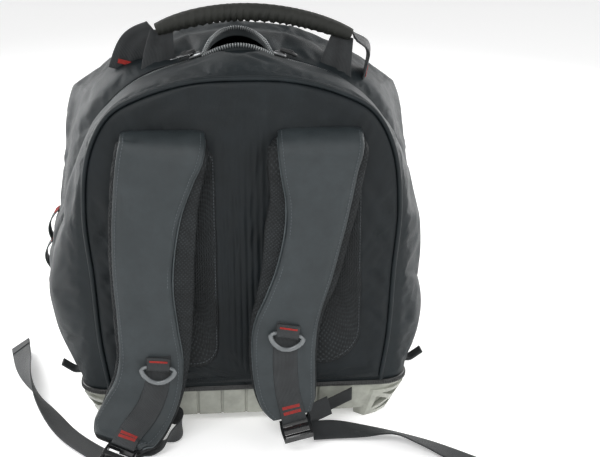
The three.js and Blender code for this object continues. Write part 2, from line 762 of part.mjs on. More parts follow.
// Moulded base tray, its plan a rounded rectangle with grooves
function planPoints(outline, grow, grooves) {
  const points = [];
  const half = outline.half + grow;
  const deep = outline.deep + grow;
  const corner = outline.corner + grow;
  const steps = 5;
  for (let quarter = 0; quarter < 4; quarter += 1) {
    const facingX = quarter % 2 === 1;
    const reach = facingX ? half : deep;
    const count = facingX ? BASE_GROOVE.side : BASE_GROOVE.back;
    const turn = (quarter * Math.PI) / 2;
    const stretch = grooves ? count : -1;
    for (let at = -stretch; at <= stretch; at += 1) {
      const middle = at * BASE_GROOVE.pitch;
      const edges = [
        [-0.5, 0],
        [-0.3, BASE_GROOVE.depth],
        [0.3, BASE_GROOVE.depth],
        [0.5, 0],
      ];
      for (const [share, cut] of edges) {
        const along = middle + share * BASE_GROOVE.width;
        points.push(new THREE.Vector2(along, -reach + cut).rotateAround(new THREE.Vector2(), turn));
      }
    }
    const sideways = facingX ? deep : half;
    const centre = new THREE.Vector2(sideways - corner, -reach + corner);
    for (let at = 0; at <= steps; at += 1) {
      const angle = -Math.PI / 2 + (at / steps) * (Math.PI / 2);
      const spoke = new THREE.Vector2(Math.cos(angle), Math.sin(angle)).multiplyScalar(corner);
      points.push(centre.clone().add(spoke).rotateAround(new THREE.Vector2(), turn));
    }
  }
  return points;
}

function planRing(outline, grow, z, grooves = false) {
  return planPoints(outline, grow, grooves).map((point) => new THREE.Vector3(point.x, point.y, z));
}

// Corner guard: a framed lattice cast in relief round each corner, down to the floor
function guardShape() {
  const { width, height, bar } = GUARD;
  const shape = new THREE.Shape();
  shape.moveTo(-width / 2, 0);
  shape.lineTo(width / 2, 0);
  shape.lineTo(width / 2, height);
  shape.lineTo(-width / 2, height);
  const inner = { x: width / 2 - bar, low: bar, high: height - bar };
  const middle = (inner.low + inner.high) / 2;
  const slim = bar * 0.75;
  const holes = [
    [[-inner.x + slim, inner.low], [inner.x - slim, inner.low], [0, middle - slim]],
    [[-inner.x + slim, inner.high], [0, middle + slim], [inner.x - slim, inner.high]],
    [[-inner.x, inner.low + slim], [-slim, middle], [-inner.x, inner.high - slim]],
    [[inner.x, inner.low + slim], [inner.x, inner.high - slim], [slim, middle]],
  ];
  for (const hole of holes) {
    shape.holes.push(new THREE.Path(hole.map(([x, y]) => new THREE.Vector2(x, y))));
  }
  return shape;
}

function baseTray() {
  const outer = loft([
    planRing(BASE_SOLE, 0, 0, true),
    planRing(BASE_WAIST, 0, BASE_CHAMFER, true),
    planRing(BASE_TOP, 0, BASE_HEIGHT, true),
  ]);
  const inset = -BASE_WALL - BASE_GROOVE.depth;
  const cavity = loft([
    planRing(BASE_SOLE, inset, BASE_WALL),
    planRing(BASE_WAIST, inset, BASE_CHAMFER + BASE_WALL / 2),
    planRing(BASE_TOP, inset, BASE_HEIGHT + BASE_WALL),
  ]);
  const grown = loft([planRing(BASE_WAIST, GUARD.relief - 1, 0), planRing(BASE_TOP, GUARD.relief, BASE_HEIGHT)]);
  const reach = Math.hypot(BASE_TOP.corner, BASE_TOP.corner) + BASE_WAIST.corner;
  let tray = outer;
  for (const [u, v] of [[1, -1], [1, 1], [-1, 1], [-1, -1]]) {
    const lattice = new THREE.ExtrudeGeometry(guardShape(), { depth: reach, bevelEnabled: false });
    lattice.rotateX(Math.PI / 2).rotateZ(Math.atan2(v, u) - Math.PI / 2 + Math.PI);
    lattice.translate(u * (BASE_TOP.half - BASE_TOP.corner / 2), v * (BASE_TOP.deep - BASE_TOP.corner / 2), 0);
    lattice.translate((-u * reach) / 4, (-v * reach) / 4, 0);
    tray = tray.add(grown.intersect(solidFromGeometry(lattice)));
  }
  return meshFrom("base_tray", tray.subtract(cavity), rubber());
}

function baseRim() {
  const low = BASE_HEIGHT + CLEARANCE;
  const high = low + RIM.height;
  const middle = (low + high) / 2;
  return meshFrom(
    "base_rim",
    hoop([
      planRing(BASE_TOP, -RIM.inside, low),
      planRing(BASE_TOP, RIM.outside * 0.6, low),
      planRing(BASE_TOP, RIM.outside, middle),
      planRing(BASE_TOP, RIM.outside * 0.6, high),
      planRing(BASE_TOP, -RIM.inside, high),
    ]),
    rubber(),
  );
}

// Shoulder straps: the place, directions and widths at a share of the route
function strapRoute(rows) {
  const places = rows.map((row) => {
    const y = BACK_Y - row.out * STRAP_STANDOFF;
    return new THREE.Vector3(row.across * STRAP_WIDTH, y, row.height * STRAP_ANCHOR_Z);
  });
  const widths = rows.map((row) => new THREE.Vector3(row.face, row.inner, row.outer));
  const rolls = rows.map((row) => new THREE.Vector3(row.roll, 0, 0));
  const curves = [places, widths, rolls].map((points) => new THREE.CatmullRomCurve3(points, false, "centripetal"));
  const columns = curves.map((curve, at) => {
    if (at === 0) return curve;
    return new THREE.CatmullRomCurve3(curve.points, false, "catmullrom", 0.5);
  });
  return (share) => {
    const along = columns[0].getTangent(share);
    const across = X_AXIS.clone().addScaledVector(along, -along.x).normalize();
    across.applyAxisAngle(along, -THREE.MathUtils.degToRad(columns[2].getPoint(share).x));
    const out = along.clone().cross(across);
    const width = columns[1].getPoint(share);
    return { at: columns[0].getPoint(share), along, across, out, width };
  };
}

function strapShareAt(route, z) {
  let low = 0.2;
  let high = 1;
  for (let step = 0; step < 30; step += 1) {
    const middle = (low + high) / 2;
    if (route(middle).at.z > z) low = middle;
    else high = middle;
  }
  return (low + high) / 2;
}

function placed(station, side, up) {
  return station.at.clone().addScaledVector(station.across, side).addScaledVector(station.out, up);
}

function strapLoft(route, sectionOf) {
  const rings = [];
  for (let step = 0; step <= STRAP_STEPS; step += 1) {
    const station = route(step / STRAP_STEPS);
    rings.push(sectionOf(station).map(([side, up]) => placed(station, side, up)));
  }
  return loft(rings);
}

// The strap's cloth face over its foam, or the same grown on every side
function faceSection(grow) {
  return ({ width }) => {
    const half = (width.x * STRAP_WIDTH) / 2 + grow;
    const low = CLEARANCE / 2 - grow;
    const high = STRAP_PAD + grow;
    return [
      [-half, low],
      [half, low],
      [half, high * 0.5],
      [half - high * 0.35, high * 0.88],
      [half - high, high],
      [-half + high, high],
      [-half + high * 0.35, high * 0.88],
      [-half, high * 0.5],
    ];
  };
}

function meshSection(sign) {
  return ({ width }) => {
    const half = (width.x * STRAP_WIDTH) / 2;
    const right = half + (sign > 0 ? width.z : width.y) * STRAP_WIDTH;
    const left = half + (sign > 0 ? width.y : width.z) * STRAP_WIDTH;
    const high = CLEARANCE / 2;
    return [
      [half, high],
      [-half, high],
      [-left, -STRAP_MESH * 0.45],
      [-left + STRAP_MESH * 0.1, -STRAP_MESH * 0.8],
      [-left + STRAP_MESH * 0.5, -STRAP_MESH],
      [right - STRAP_MESH * 0.5, -STRAP_MESH],
      [right - STRAP_MESH * 0.1, -STRAP_MESH * 0.8],
      [right, -STRAP_MESH * 0.45],
    ];
  };
}

// Webbing as a flat ribbon through stations of place, across and out
function ribbon(stations, wide, thick) {
  return loft(
    stations.map((station) => [
      placed(station, -wide / 2, -thick / 2),
      placed(station, wide / 2, -thick / 2),
      placed(station, wide / 2, thick / 2),
      placed(station, -wide / 2, thick / 2),
    ]),
  );
}

// Webbing down the strap's face, over the lock's upper bar and back under it
function strapWeb(route, side, grow = 0) {
  const steps = 10;
  const start = strapShareAt(route, side.ring * STRAP_ANCHOR_Z + KEEPER_TAB);
  const up = STRAP_PAD + CLEARANCE + WEB.thick / 2;
  const stations = [];
  for (let step = 0; step <= steps; step += 1) {
    const station = route(THREE.MathUtils.lerp(start, 1, step / steps));
    stations.push({ ...station, at: placed(station, side.webShift * STRAP_WIDTH, up) });
  }
  const end = stations[steps];
  const pivot = end.at.clone().addScaledVector(end.along, LOCK_BAR_AT).addScaledVector(end.out, -LOCK_TURN);
  for (let step = 0; step <= LOCK.turns; step += 1) {
    const out = end.out.clone().applyAxisAngle(end.across, (-Math.PI * step) / LOCK.turns);
    stations.push({ at: pivot.clone().addScaledVector(out, LOCK_TURN), across: end.across, out });
  }
  const back = stations[stations.length - 1];
  stations.push({ ...back, at: back.at.clone().addScaledVector(end.along, CLEARANCE - LOCK_BAR_AT) });
  return ribbon(stations, WEB.wide + 2 * grow, WEB.thick + 2 * grow);
}

// D-ring, hanging from its straight bar in a folded webbing keeper
function ringFrame(route, side) {
  const station = route(strapShareAt(route, side.ring * STRAP_ANCHOR_Z));
  const up = STRAP_PAD + 2 * CLEARANCE + WEB.thick + WEB.thick + CLEARANCE + RING_BAR.radius;
  const origin = placed(station, side.webShift * STRAP_WIDTH, up);
  return new THREE.Matrix4().makeBasis(station.across, station.out, station.along.clone().negate()).setPosition(origin);
}

function dRing(frame) {
  const { half, radius } = RING_BAR;
  const { reach, swell, flat } = RING_BOW;
  const bar = half + radius;
  const route = [
    [-0.5 * half, 0],
    [0.5 * half, 0],
    [half, -0.3],
    [bar + swell * 0.4, -swell],
    [bar - swell * 0.2, -reach * 0.5],
    [half * 0.55, -reach * 0.88],
    [0, -reach],
    [-half * 0.55, -reach * 0.88],
    [-bar + swell * 0.2, -reach * 0.5],
    [-bar - swell * 0.4, -swell],
    [-half, -0.3],
  ].map(([x, z]) => new THREE.Vector3(x, 0, z));
  const curve = new THREE.CatmullRomCurve3(route, true, "centripetal");
  const steps = 24;
  const rings = [];
  for (let at = 0; at < steps; at += 1) {
    const middle = curve.getPointAt(at / steps);
    const along = curve.getTangentAt(at / steps);
    const sideways = along.clone().cross(Y_AXIS).normalize();
    const wide = radius * (middle.z < -swell ? flat : 1);
    const ring = roundSection(1, 8).map((corner) => {
      const place = middle.clone().addScaledVector(sideways, corner.out * wide);
      return place.addScaledVector(Y_AXIS, corner.deep * radius).applyMatrix4(frame);
    });
    rings.push(ring);
  }
  return hoop(rings);
}

function ringKeeper(frame) {
  const hole = RING_BAR.radius + CLEARANCE;
  const outer = hole + WEB.thick;
  const shape = new THREE.Shape();
  shape.absarc(0, 0, outer, Math.PI, 2 * Math.PI, false);
  shape.lineTo(outer, 0);
  shape.lineTo(outer * 0.2, KEEPER_TAB * 0.55);
  shape.lineTo(-outer + 2 * WEB.thick, KEEPER_TAB);
  shape.lineTo(-outer, KEEPER_TAB);
  shape.closePath();
  const slot = new THREE.Path();
  slot.absarc(0, 0, hole, 0, 2 * Math.PI, false);
  shape.holes.push(slot);
  const wide = 2 * (RING_BAR.half - RING_BAR.radius) - 2 * CLEARANCE;
  const geometry = new THREE.ExtrudeGeometry(shape, { depth: wide, bevelEnabled: false, curveSegments: 8 });
  geometry.translate(0, 0, -wide / 2);
  const turn = new THREE.Matrix4().makeBasis(Y_AXIS, Z_AXIS, X_AXIS);
  geometry.applyMatrix4(turn).applyMatrix4(frame);
  return solidFromGeometry(geometry);
}

// One-piece ladder lock: a frame with three bars and two slots, its lower lip lifted
function lockFrame(route, side) {
  const end = route(1);
  const up = STRAP_PAD + CLEARANCE + WEB.thick / 2 - LOCK_TURN;
  const pivot = placed(end, side.webShift * STRAP_WIDTH, up).addScaledVector(end.along, LOCK_BAR_AT);
  const tilt = THREE.MathUtils.degToRad(-side.lockTilt);
  const along = end.along.clone().applyAxisAngle(end.across, tilt);
  const out = end.out.clone().applyAxisAngle(end.across, tilt);
  const origin = pivot.addScaledVector(along, (LOCK.long - LOCK.bar) / 2);
  return new THREE.Matrix4().makeBasis(end.across, along.negate(), out).setPosition(origin);
}

function ladderLock(frame) {
  const { wide, long, thick, rail, bar, lip } = LOCK;
  const slot = (long - 3 * bar) / 2;
  const upper = (bar + slot) / 2;
  const shape = new THREE.Shape();
  shape.moveTo(-wide / 2 + 1, -long / 2);
  shape.lineTo(wide / 2 - 1, -long / 2);
  shape.lineTo(wide / 2, 0);
  shape.lineTo(wide / 2 - 1, long / 2);
  shape.lineTo(-wide / 2 + 1, long / 2);
  shape.lineTo(-wide / 2, 0);
  const inner = wide / 2 - rail;
  for (const middle of [-upper, upper]) {
    const corners = [
      [-inner, middle - slot / 2],
      [-inner, middle + slot / 2],
      [inner, middle + slot / 2],
      [inner, middle - slot / 2],
    ];
    shape.holes.push(new THREE.Path(corners.map(([u, v]) => new THREE.Vector2(u, v))));
  }
  const plate = new THREE.ExtrudeGeometry(shape, { depth: thick, bevelEnabled: false });
  plate.translate(0, 0, -thick / 2);
  const lipShape = new THREE.Shape([
    new THREE.Vector2(-long / 2 + 0.5, thick / 2 - 1),
    new THREE.Vector2(-long / 2 - lip, thick / 2 + lip),
    new THREE.Vector2(-long / 2 - lip + 1.5, thick / 2 + lip + 1),
    new THREE.Vector2(-long / 2 + LOCK.bar, thick / 2 - 1),
  ]);
  const lipBar = new THREE.ExtrudeGeometry(lipShape, { depth: wide - 2 * rail, bevelEnabled: false });
  lipBar.translate(0, 0, -wide / 2 + rail);
  lipBar.applyMatrix4(new THREE.Matrix4().makeBasis(Y_AXIS, Z_AXIS, X_AXIS));
  return solidFromGeometry(plate.applyMatrix4(frame)).add(solidFromGeometry(lipBar.applyMatrix4(frame)));
}

function alongRoute(points, steps, acrossAt) {
  const curve = new THREE.CatmullRomCurve3(points, false, "centripetal");
  const stations = [];
  for (let step = 0; step <= steps; step += 1) {
    const share = step / steps;
    const along = curve.getTangent(share);
    const across = acrossAt(share, along).clone();
    across.addScaledVector(along, -along.dot(across)).normalize();
    stations.push({ at: curve.getPoint(share), along, across, out: along.clone().cross(across) });
  }
  return stations;
}

// The free tail of the strap's webbing, lying on the floor
function tail(side, lock) {
  const start = new THREE.Vector3().setFromMatrixPosition(lock);
  const points = side.tail.map((row) => {
    const z = row.lift * TAIL_REACH;
    return new THREE.Vector3(start.x + row.aside * TAIL_REACH, start.y + row.back * TAIL_REACH, z);
  });
  const turns = side.tail.map((row) => new THREE.Vector3(row.turn, 0, 0));
  const turn = new THREE.CatmullRomCurve3(turns, false, "catmullrom", 0.5);
  const stations = alongRoute(points, 20, (share, along) => {
    const flat = Z_AXIS.clone().cross(along).normalize();
    return flat.applyAxisAngle(along, THREE.MathUtils.degToRad(turn.getPoint(share).x));
  });
  return ribbon(stations, WEB.wide, WEB.thick);
}

// Lower anchor: a cloth wing on the base's seam and the webbing sewn on it, down to the back of the lock
function wingPoint(side, share, up, z) {
  const face = -BASE_TOP.deep - RIM.outside - GUARD.relief - CLEARANCE;
  const slope = new THREE.Vector2(WING.outer - WING.inner, WING.reach).normalize();
  const x = THREE.MathUtils.lerp(WING.outer, WING.inner, share) - slope.y * up;
  return new THREE.Vector3(side.sign * x, face - WING.reach * share - slope.x * up, z);
}

function wing(side, grow = 0) {
  const { high, low, thick, droop } = WING;
  return loft(
    [-grow * 0.1, 0.5, 1 + grow * 0.1].map((share) => [
      wingPoint(side, share, -grow, low - droop * share - grow),
      wingPoint(side, share, -grow, high - droop * share + grow),
      wingPoint(side, share, thick + grow, high - droop * share + grow),
      wingPoint(side, share, thick + grow, low - droop * share - grow),
    ]),
  );
}

// The lock's whole envelope with its clearance, to end the webbing behind it
function lockEnvelope(lock) {
  const frame = lock.clone().multiply(new THREE.Matrix4().makeTranslation(0, 0, -LOCK.thick / 2 - CLEARANCE));
  return box(frame, LOCK.wide + 2 * CLEARANCE, LOCK.long + 2 * LOCK.lip, LOCK.thick + 2 * CLEARANCE);
}

function lowerWeb(side, lock) {
  const up = WING.thick + CLEARANCE + WEB.thick / 2;
  const z = (WING.low + WING.high) / 2 - WING.droop;
  const tip = wingPoint(side, 1, up, z);
  const rows = side.lower.map((row) => {
    const x = tip.x - side.sign * row.aside * LOWER_REACH;
    return new THREE.Vector3(x, tip.y - row.out * LOWER_REACH, row.up * LOWER_REACH);
  });
  const behind = new THREE.Vector3(0, 0, -LOCK.thick / 2 - CLEARANCE - WEB.thick / 2).applyMatrix4(lock);
  const across = new THREE.Vector3().setFromMatrixColumn(lock, 0);
  const level = across.clone().setZ(0).normalize();
  const points = [wingPoint(side, 0.6, up, z + WING.droop * 0.4), tip, ...rows, behind];
  const flats = [0, 0, ...side.lower.map((row) => row.flat), 2].map((flat) => new THREE.Vector3(flat, 0, 0));
  const flat = new THREE.CatmullRomCurve3(flats, false, "catmullrom", 0.5);
  const stations = alongRoute(points, 14, (share) => {
    const turn = THREE.MathUtils.clamp(flat.getPoint(share).x, 0, 2);
    return turn < 1 ? Z_AXIS.clone().lerp(level, turn) : level.clone().lerp(across, turn - 1);
  });
  const web = ribbon(stations, WEB.wide * 0.9, WEB.thick);
  return web.subtract(wing(side, CLEARANCE)).subtract(lockEnvelope(lock));
}

function strapPieces(side) {
  const route = strapRoute(side.route);
  const pad = strapLoft(route, faceSection(0)).subtract(PANEL_TRIM);
  const trim = strapLoft(route, faceSection(CLEARANCE));
  const mesh = strapLoft(route, meshSection(side.sign)).subtract(PANEL_TRIM).subtract(trim).subtract(pad);
  const web = strapWeb(route, side).subtract(trim);
  const ring = ringFrame(route, side);
  const keeper = ringKeeper(ring).subtract(strapWeb(route, side, CLEARANCE));
  const lock = lockFrame(route, side);
  return [
    meshFrom(`shoulder_strap_${side.name}`, pad, nylon()),
    meshFrom(`strap_mesh_${side.name}`, mesh, airMesh()),
    meshFrom(`strap_webbing_${side.name}`, web, webbing()),
    meshFrom(`dring_${side.name}`, dRing(ring), greyAcetal()),
    meshFrom(`dring_keeper_${side.name}`, keeper, webbing()),
    meshFrom(`ladder_lock_${side.name}`, ladderLock(lock), acetal()),
    meshFrom(`webbing_tail_${side.name}`, tail(side, lock), webbing()),
    meshFrom(`anchor_wing_${side.name}`, wing(side), nylon()),
    meshFrom(`lower_webbing_${side.name}`, lowerWeb(side, lock), webbing()),
  ];
}

// Padded handle and its webbing legs
function handleCurve() {
  const { y, left, right, leftZ, rightZ, middle, middleZ } = HANDLE;
  return new THREE.QuadraticBezierCurve3(
    new THREE.Vector3(left, y, leftZ),
    new THREE.Vector3(middle, y, 2 * middleZ - (leftZ + rightZ) / 2),
    new THREE.Vector3(right, y, rightZ),
  );
}

function handleGrip(curve, grow) {
  const steps = 14;
  const rings = [];
  for (let step = 0; step <= steps; step += 1) {
    const share = step / steps;
    const up = Y_AXIS.clone().cross(curve.getTangent(share)).negate();
    const slim = 1 - 0.28 * Math.abs(2 * share - 1) ** 6;
    rings.push(
      roundSection(HANDLE.radius * slim + grow, 10).map((corner) => {
        const place = curve.getPoint(share).addScaledVector(up, corner.out);
        return place.addScaledVector(Y_AXIS, corner.deep);
      }),
    );
  }
  return loft(rings);
}

// A leg widens from the grip's end to its foot on the bag; edge turns its foot side on to the view
function handleLeg(curve, leg, depth) {
  const sign = leg.side === "left" ? -1 : 1;
  const end = curve.getPoint(sign < 0 ? 0 : 1);
  const rows = [
    { x: leg.topX, y: 0, z: 0.02 },
    { x: leg.kneeX, y: leg.footY * 0.4, z: leg.kneeZ },
    { x: leg.footX, y: leg.footY, z: 1 },
  ];
  const points = rows.map((row) => {
    const x = end.x + sign * row.x * LEG_DROP;
    return new THREE.Vector3(x, end.y + depth + row.y * LEG_DROP, end.z - row.z * LEG_DROP);
  });
  const stations = alongRoute(points, LEG.steps, (share, along) => along.clone().cross(Y_AXIS).lerp(Y_AXIS, leg.edge));
  return loft(
    stations.map((station, at) => {
      const half = THREE.MathUtils.lerp(LEG.top, LEG.foot, at / LEG.steps) / 2;
      return [
        placed(station, -half, -LEG.thick / 2),
        placed(station, half, -LEG.thick / 2),
        placed(station, half, LEG.thick / 2),
        placed(station, -half, LEG.thick / 2),
      ];
    }),
  );
}

function handlePieces() {
  const curve = handleCurve();
  const pieces = [meshFrom("handle_grip", handleGrip(curve, 0), gatheredCloth())];
  const gripTrim = handleGrip(curve, CLEARANCE);
  for (const leg of LEGS) {
    const depth = leg.name === "inner" ? 0 : LEG.thick + CLEARANCE;
    const solid = handleLeg(curve, leg, depth).subtract(gripTrim).subtract(BAG_TRIM);
    pieces.push(meshFrom(`handle_leg_${leg.name}_${leg.side}`, solid, webbing()));
  }
  return pieces;
}

// Small webbing loop low on each side
function sideTab(side) {
  const z = HEM_Z + TAB.lift;
  const x = Math.abs(side.sign > 0 ? sideAt(z, TAB.y) : leftAt(z, TAB.y));
  const thick = 2 * WEB.thick;
  const shape = new THREE.Shape();
  shape.moveTo(-TAB.reach * 0.3, 0);
  shape.lineTo(TAB.reach * 0.4, 0);
  shape.lineTo(TAB.reach, TAB.rise);
  shape.lineTo(TAB.reach - thick * 0.5, TAB.rise + thick);
  shape.lineTo(TAB.reach * 0.4 - thick * 0.3, thick);
  shape.lineTo(-TAB.reach * 0.3, thick);
  const geometry = new THREE.ExtrudeGeometry(shape, { depth: TAB.wide, bevelEnabled: false });
  geometry.rotateX(Math.PI / 2).translate(x, TAB.y + TAB.wide / 2, z).scale(side.sign, 1, 1);
  return meshFrom(`side_tab_${side.name}`, solidFromGeometry(geometry).subtract(BAG_TRIM), webbing());
}

// Webbing down the left side, sewn at intervals so that it stands out in loops
function sideWebbing() {
  const stations = [];
  const steps = SIDE_WEB.loops * 4;
  for (let step = 0; step <= steps; step += 1) {
    const share = step / steps;
    const z = THREE.MathUtils.lerp(SIDE_WEB.low, SIDE_WEB.high, share);
    const x = leftAt(z, SIDE_WEB.y);
    const lift = Math.abs(Math.sin(share * SIDE_WEB.loops * Math.PI)) * SIDE_WEB.bulge;
    const at = new THREE.Vector3(x - CLEARANCE - WEB.thick - lift, SIDE_WEB.y, z);
    stations.push({ at, across: Y_AXIS.clone().negate(), out: X_AXIS.clone().negate() });
  }
  const solid = ribbon(stations, SIDE_WEB.wide, WEB.thick).subtract(BAG_TRIM);
  return meshFrom("side_webbing_left", solid, webbing());
}

const backpack = new THREE.Group();
backpack.add(baseTray(), baseRim(), ...shells(), panelPiping(), ...backPanel());
backpack.add(...zipChains(), ...zipRails(), ...slidersAndPulls());
for (const side of SIDES) backpack.add(...strapPieces(side), sideTab(side));
backpack.add(...handlePieces(), sideWebbing());

export default backpack;
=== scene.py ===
# %% [markdown]
# A tool backpack on a moulded rubber base, seen from the wearer's side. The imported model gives
# every piece its place and size. This lesson dresses it: soft shells, padded straps, webbing and a
# zip are modelled again in fine mesh, and the moulded pieces get softened edges and better
# finishes.

# %% Load the frame
import math
import bpy
import bmesh
import numpy as np
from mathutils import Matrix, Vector


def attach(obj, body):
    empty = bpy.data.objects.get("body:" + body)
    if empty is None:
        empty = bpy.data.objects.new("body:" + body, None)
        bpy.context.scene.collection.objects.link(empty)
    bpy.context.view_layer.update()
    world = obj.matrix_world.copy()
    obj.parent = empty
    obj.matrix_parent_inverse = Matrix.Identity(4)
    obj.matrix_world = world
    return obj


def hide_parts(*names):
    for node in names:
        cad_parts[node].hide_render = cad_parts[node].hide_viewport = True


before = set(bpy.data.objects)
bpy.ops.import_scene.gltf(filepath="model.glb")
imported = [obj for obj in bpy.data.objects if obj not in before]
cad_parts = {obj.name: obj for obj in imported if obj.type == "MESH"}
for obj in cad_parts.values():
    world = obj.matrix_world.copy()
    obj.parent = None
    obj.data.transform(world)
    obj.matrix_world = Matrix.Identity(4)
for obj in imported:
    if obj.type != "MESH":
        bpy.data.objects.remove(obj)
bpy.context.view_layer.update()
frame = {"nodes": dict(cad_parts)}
BAG = "bag"
MM = 0.001

# %% [markdown]
# The camera stands in front of the straps, a little left and above, as for the photograph. Its
# place is worked out from a point on the back panel, two angles and a distance, so each can be
# changed by itself.

# %% Camera
VIEW_TARGET = Vector((57.2, -115.0, 216.4)) * MM
VIEW_AZIMUTH = math.radians(-5.0)
VIEW_ELEVATION = math.radians(18.0)
VIEW_DISTANCE = 1.2
VIEW_LENS = 70.8


def place_camera():
    level = math.cos(VIEW_ELEVATION)
    aside, ahead = math.sin(VIEW_AZIMUTH) * level, math.cos(VIEW_AZIMUTH) * level
    outward = Vector((aside, -ahead, math.sin(VIEW_ELEVATION)))
    data = bpy.data.cameras.new("camera")
    data.lens = VIEW_LENS
    data.sensor_width = 36.0
    camera = bpy.data.objects.new("camera", data)
    camera.location = VIEW_TARGET + outward * VIEW_DISTANCE
    camera.rotation_euler = (-outward).to_track_quat("-Z", "Y").to_euler()
    bpy.context.scene.collection.objects.link(camera)
    bpy.context.scene.camera = camera
    return camera


camera = place_camera()
print("camera at", [round(v, 3) for v in camera.location])

# %% [markdown]
# Large soft lights and a pale floor that glows a little make the bright, almost shadowless studio
# of the photograph. The room is white at the horizon and dim overhead, so that the bag's top stays
# darker than its face. The two lights behind the bag give its far sides their pale edge, and the
# floor lifts the straps from below.

# %% Studio
STUDIO = bpy.data.collections.new("studio")
bpy.context.scene.collection.children.link(STUDIO)
WHITE = (1.0, 1.0, 1.0, 1.0)
PAPER = (0.93, 0.93, 0.93, 1.0)
ROOM = {"From Min": 0.3, "From Max": 0.85, "To Min": 0.97, "To Max": 0.35}
FLOOR_REACH, FLOOR_GLOW = 4.0, 0.3
LIGHT_AIM = (0.0, 0.0, 0.2)
LIGHTS = [
    ("key", (-0.7, -1.5, 1.7), (1.4, 1.0), 26.0),
    ("fill", (1.5, -1.2, 0.9), (1.2, 1.2), 10.0),
    ("back_left", (-1.3, 0.9, 0.9), (1.0, 1.4), 30.0),
    ("back_right", (1.4, 0.9, 0.8), (1.0, 1.4), 24.0),
]


def room():
    """A world whose strength falls from the horizon to the ceiling."""
    world = bpy.data.worlds.new("studio")
    world.use_nodes = True
    sky = world.node_tree
    sky.nodes["Background"].inputs["Color"].default_value = WHITE
    place = sky.nodes.new("ShaderNodeTexCoord")
    split = sky.nodes.new("ShaderNodeSeparateXYZ")
    ceiling = sky.nodes.new("ShaderNodeMapRange")
    for label, value in ROOM.items():
        ceiling.inputs[label].default_value = value
    sky.links.new(place.outputs["Generated"], split.inputs[0])
    sky.links.new(split.outputs["Z"], ceiling.inputs["Value"])
    sky.links.new(ceiling.outputs["Result"], sky.nodes["Background"].inputs["Strength"])
    bpy.context.scene.world = world
    bpy.context.scene.view_settings.view_transform = "Standard"


def area_light(name, place, size, power):
    data = bpy.data.lights.new(name, "AREA")
    data.shape = "RECTANGLE"
    data.size, data.size_y = size
    data.energy = power
    light = bpy.data.objects.new(name, data)
    light.location = place
    light.rotation_euler = (Vector(place) - Vector(LIGHT_AIM)).to_track_quat("Z", "Y").to_euler()
    STUDIO.objects.link(light)


def floor():
    mesh = bpy.data.meshes.new("floor")
    corners = [(x * FLOOR_REACH, y * FLOOR_REACH, 0) for x, y in ((-1, -1), (1, -1), (1, 1), (-1, 1))]
    mesh.from_pydata(corners, [], [(0, 1, 2, 3)])
    sheet = bpy.data.objects.new("floor", mesh)
    STUDIO.objects.link(sheet)
    paint = bpy.data.materials.new("floor_paper")
    paint.use_nodes = True
    shader = paint.node_tree.nodes["Principled BSDF"]
    shader.inputs["Base Color"].default_value = PAPER
    shader.inputs["Roughness"].default_value = 0.8
    shader.inputs["Emission Color"].default_value = WHITE
    shader.inputs["Emission Strength"].default_value = FLOOR_GLOW
    mesh.materials.append(paint)


room()
for light_row in LIGHTS:
    area_light(*light_row)
floor()

# %% [markdown]
# Most shapes here are curves through a few points. With a tension, the curve's parameter is even
# between the points, as seams need. Without one, its bends are spread by the distance between the
# points, for straps and webbing.


# %% Curve helpers
def hermite(share, start, end, leave, arrive):
    squared = share * share
    cubed = squared * share
    return (
        (2 * cubed - 3 * squared + 1) * start
        + (cubed - 2 * squared + share) * leave
        + (-2 * cubed + 3 * squared) * end
        + (cubed - squared) * arrive
    )


def root_gap(start, end):
    return max(np.linalg.norm(end - start), 1e-6) ** 0.5


def curve_points(points, shares, tension=None):
    """Places at shares of the curve; with no tension, the bends follow the gaps between the points."""
    knots = np.asarray(points, float)
    ends = [2 * knots[0] - knots[1], *knots, 2 * knots[-1] - knots[-2]]
    made = []
    for share in np.atleast_1d(shares):
        at = min(max(share, 0.0), 1.0) * (len(knots) - 1)
        span = min(int(at), len(knots) - 2)
        before, start, end, after = ends[span : span + 4]
        if tension is not None:
            leave, arrive = tension * (end - before), tension * (after - start)
        else:
            gaps = [root_gap(a, b) for a, b in ((before, start), (start, end), (end, after))]
            through = (end - start) / gaps[1]
            leave = (start - before) / gaps[0] - (end - before) / (gaps[0] + gaps[1]) + through
            arrive = through - (after - start) / (gaps[1] + gaps[2]) + (after - end) / gaps[2]
            leave, arrive = leave * gaps[1], arrive * gaps[1]
        made.append(hermite(at - span, start, end, leave, arrive))
    return np.array(made)


def unit(vectors):
    lengths = np.linalg.norm(vectors, axis=-1, keepdims=True)
    return vectors / np.maximum(lengths, 1e-9)


def tangents(points):
    return unit(np.gradient(points, axis=0))


def run_length(points):
    return np.concatenate([[0.0], np.cumsum(np.linalg.norm(np.diff(points, axis=0), axis=1))])


print("curve helpers ready, a test curve has", len(curve_points([[0.0], [1.0]], [0, 1])), "places")

# %% [markdown]
# A piece is a grid of points turned into a mesh, with its own flat map in metres, so that a weave
# keeps its true size and runs with the cloth.

# %% Grid meshes
CLOTHING = bpy.data.collections.new("backpack")
bpy.context.scene.collection.children.link(CLOTHING)


def grid_faces(rows, columns, closed_rows, closed_columns):
    faces = []
    for row in range(rows if closed_rows else rows - 1):
        below = (row + 1) % rows
        for column in range(columns if closed_columns else columns - 1):
            beside = (column + 1) % columns
            upper, lower = row * columns, below * columns
            faces.append((upper + column, upper + beside, lower + beside, lower + column))
    return faces


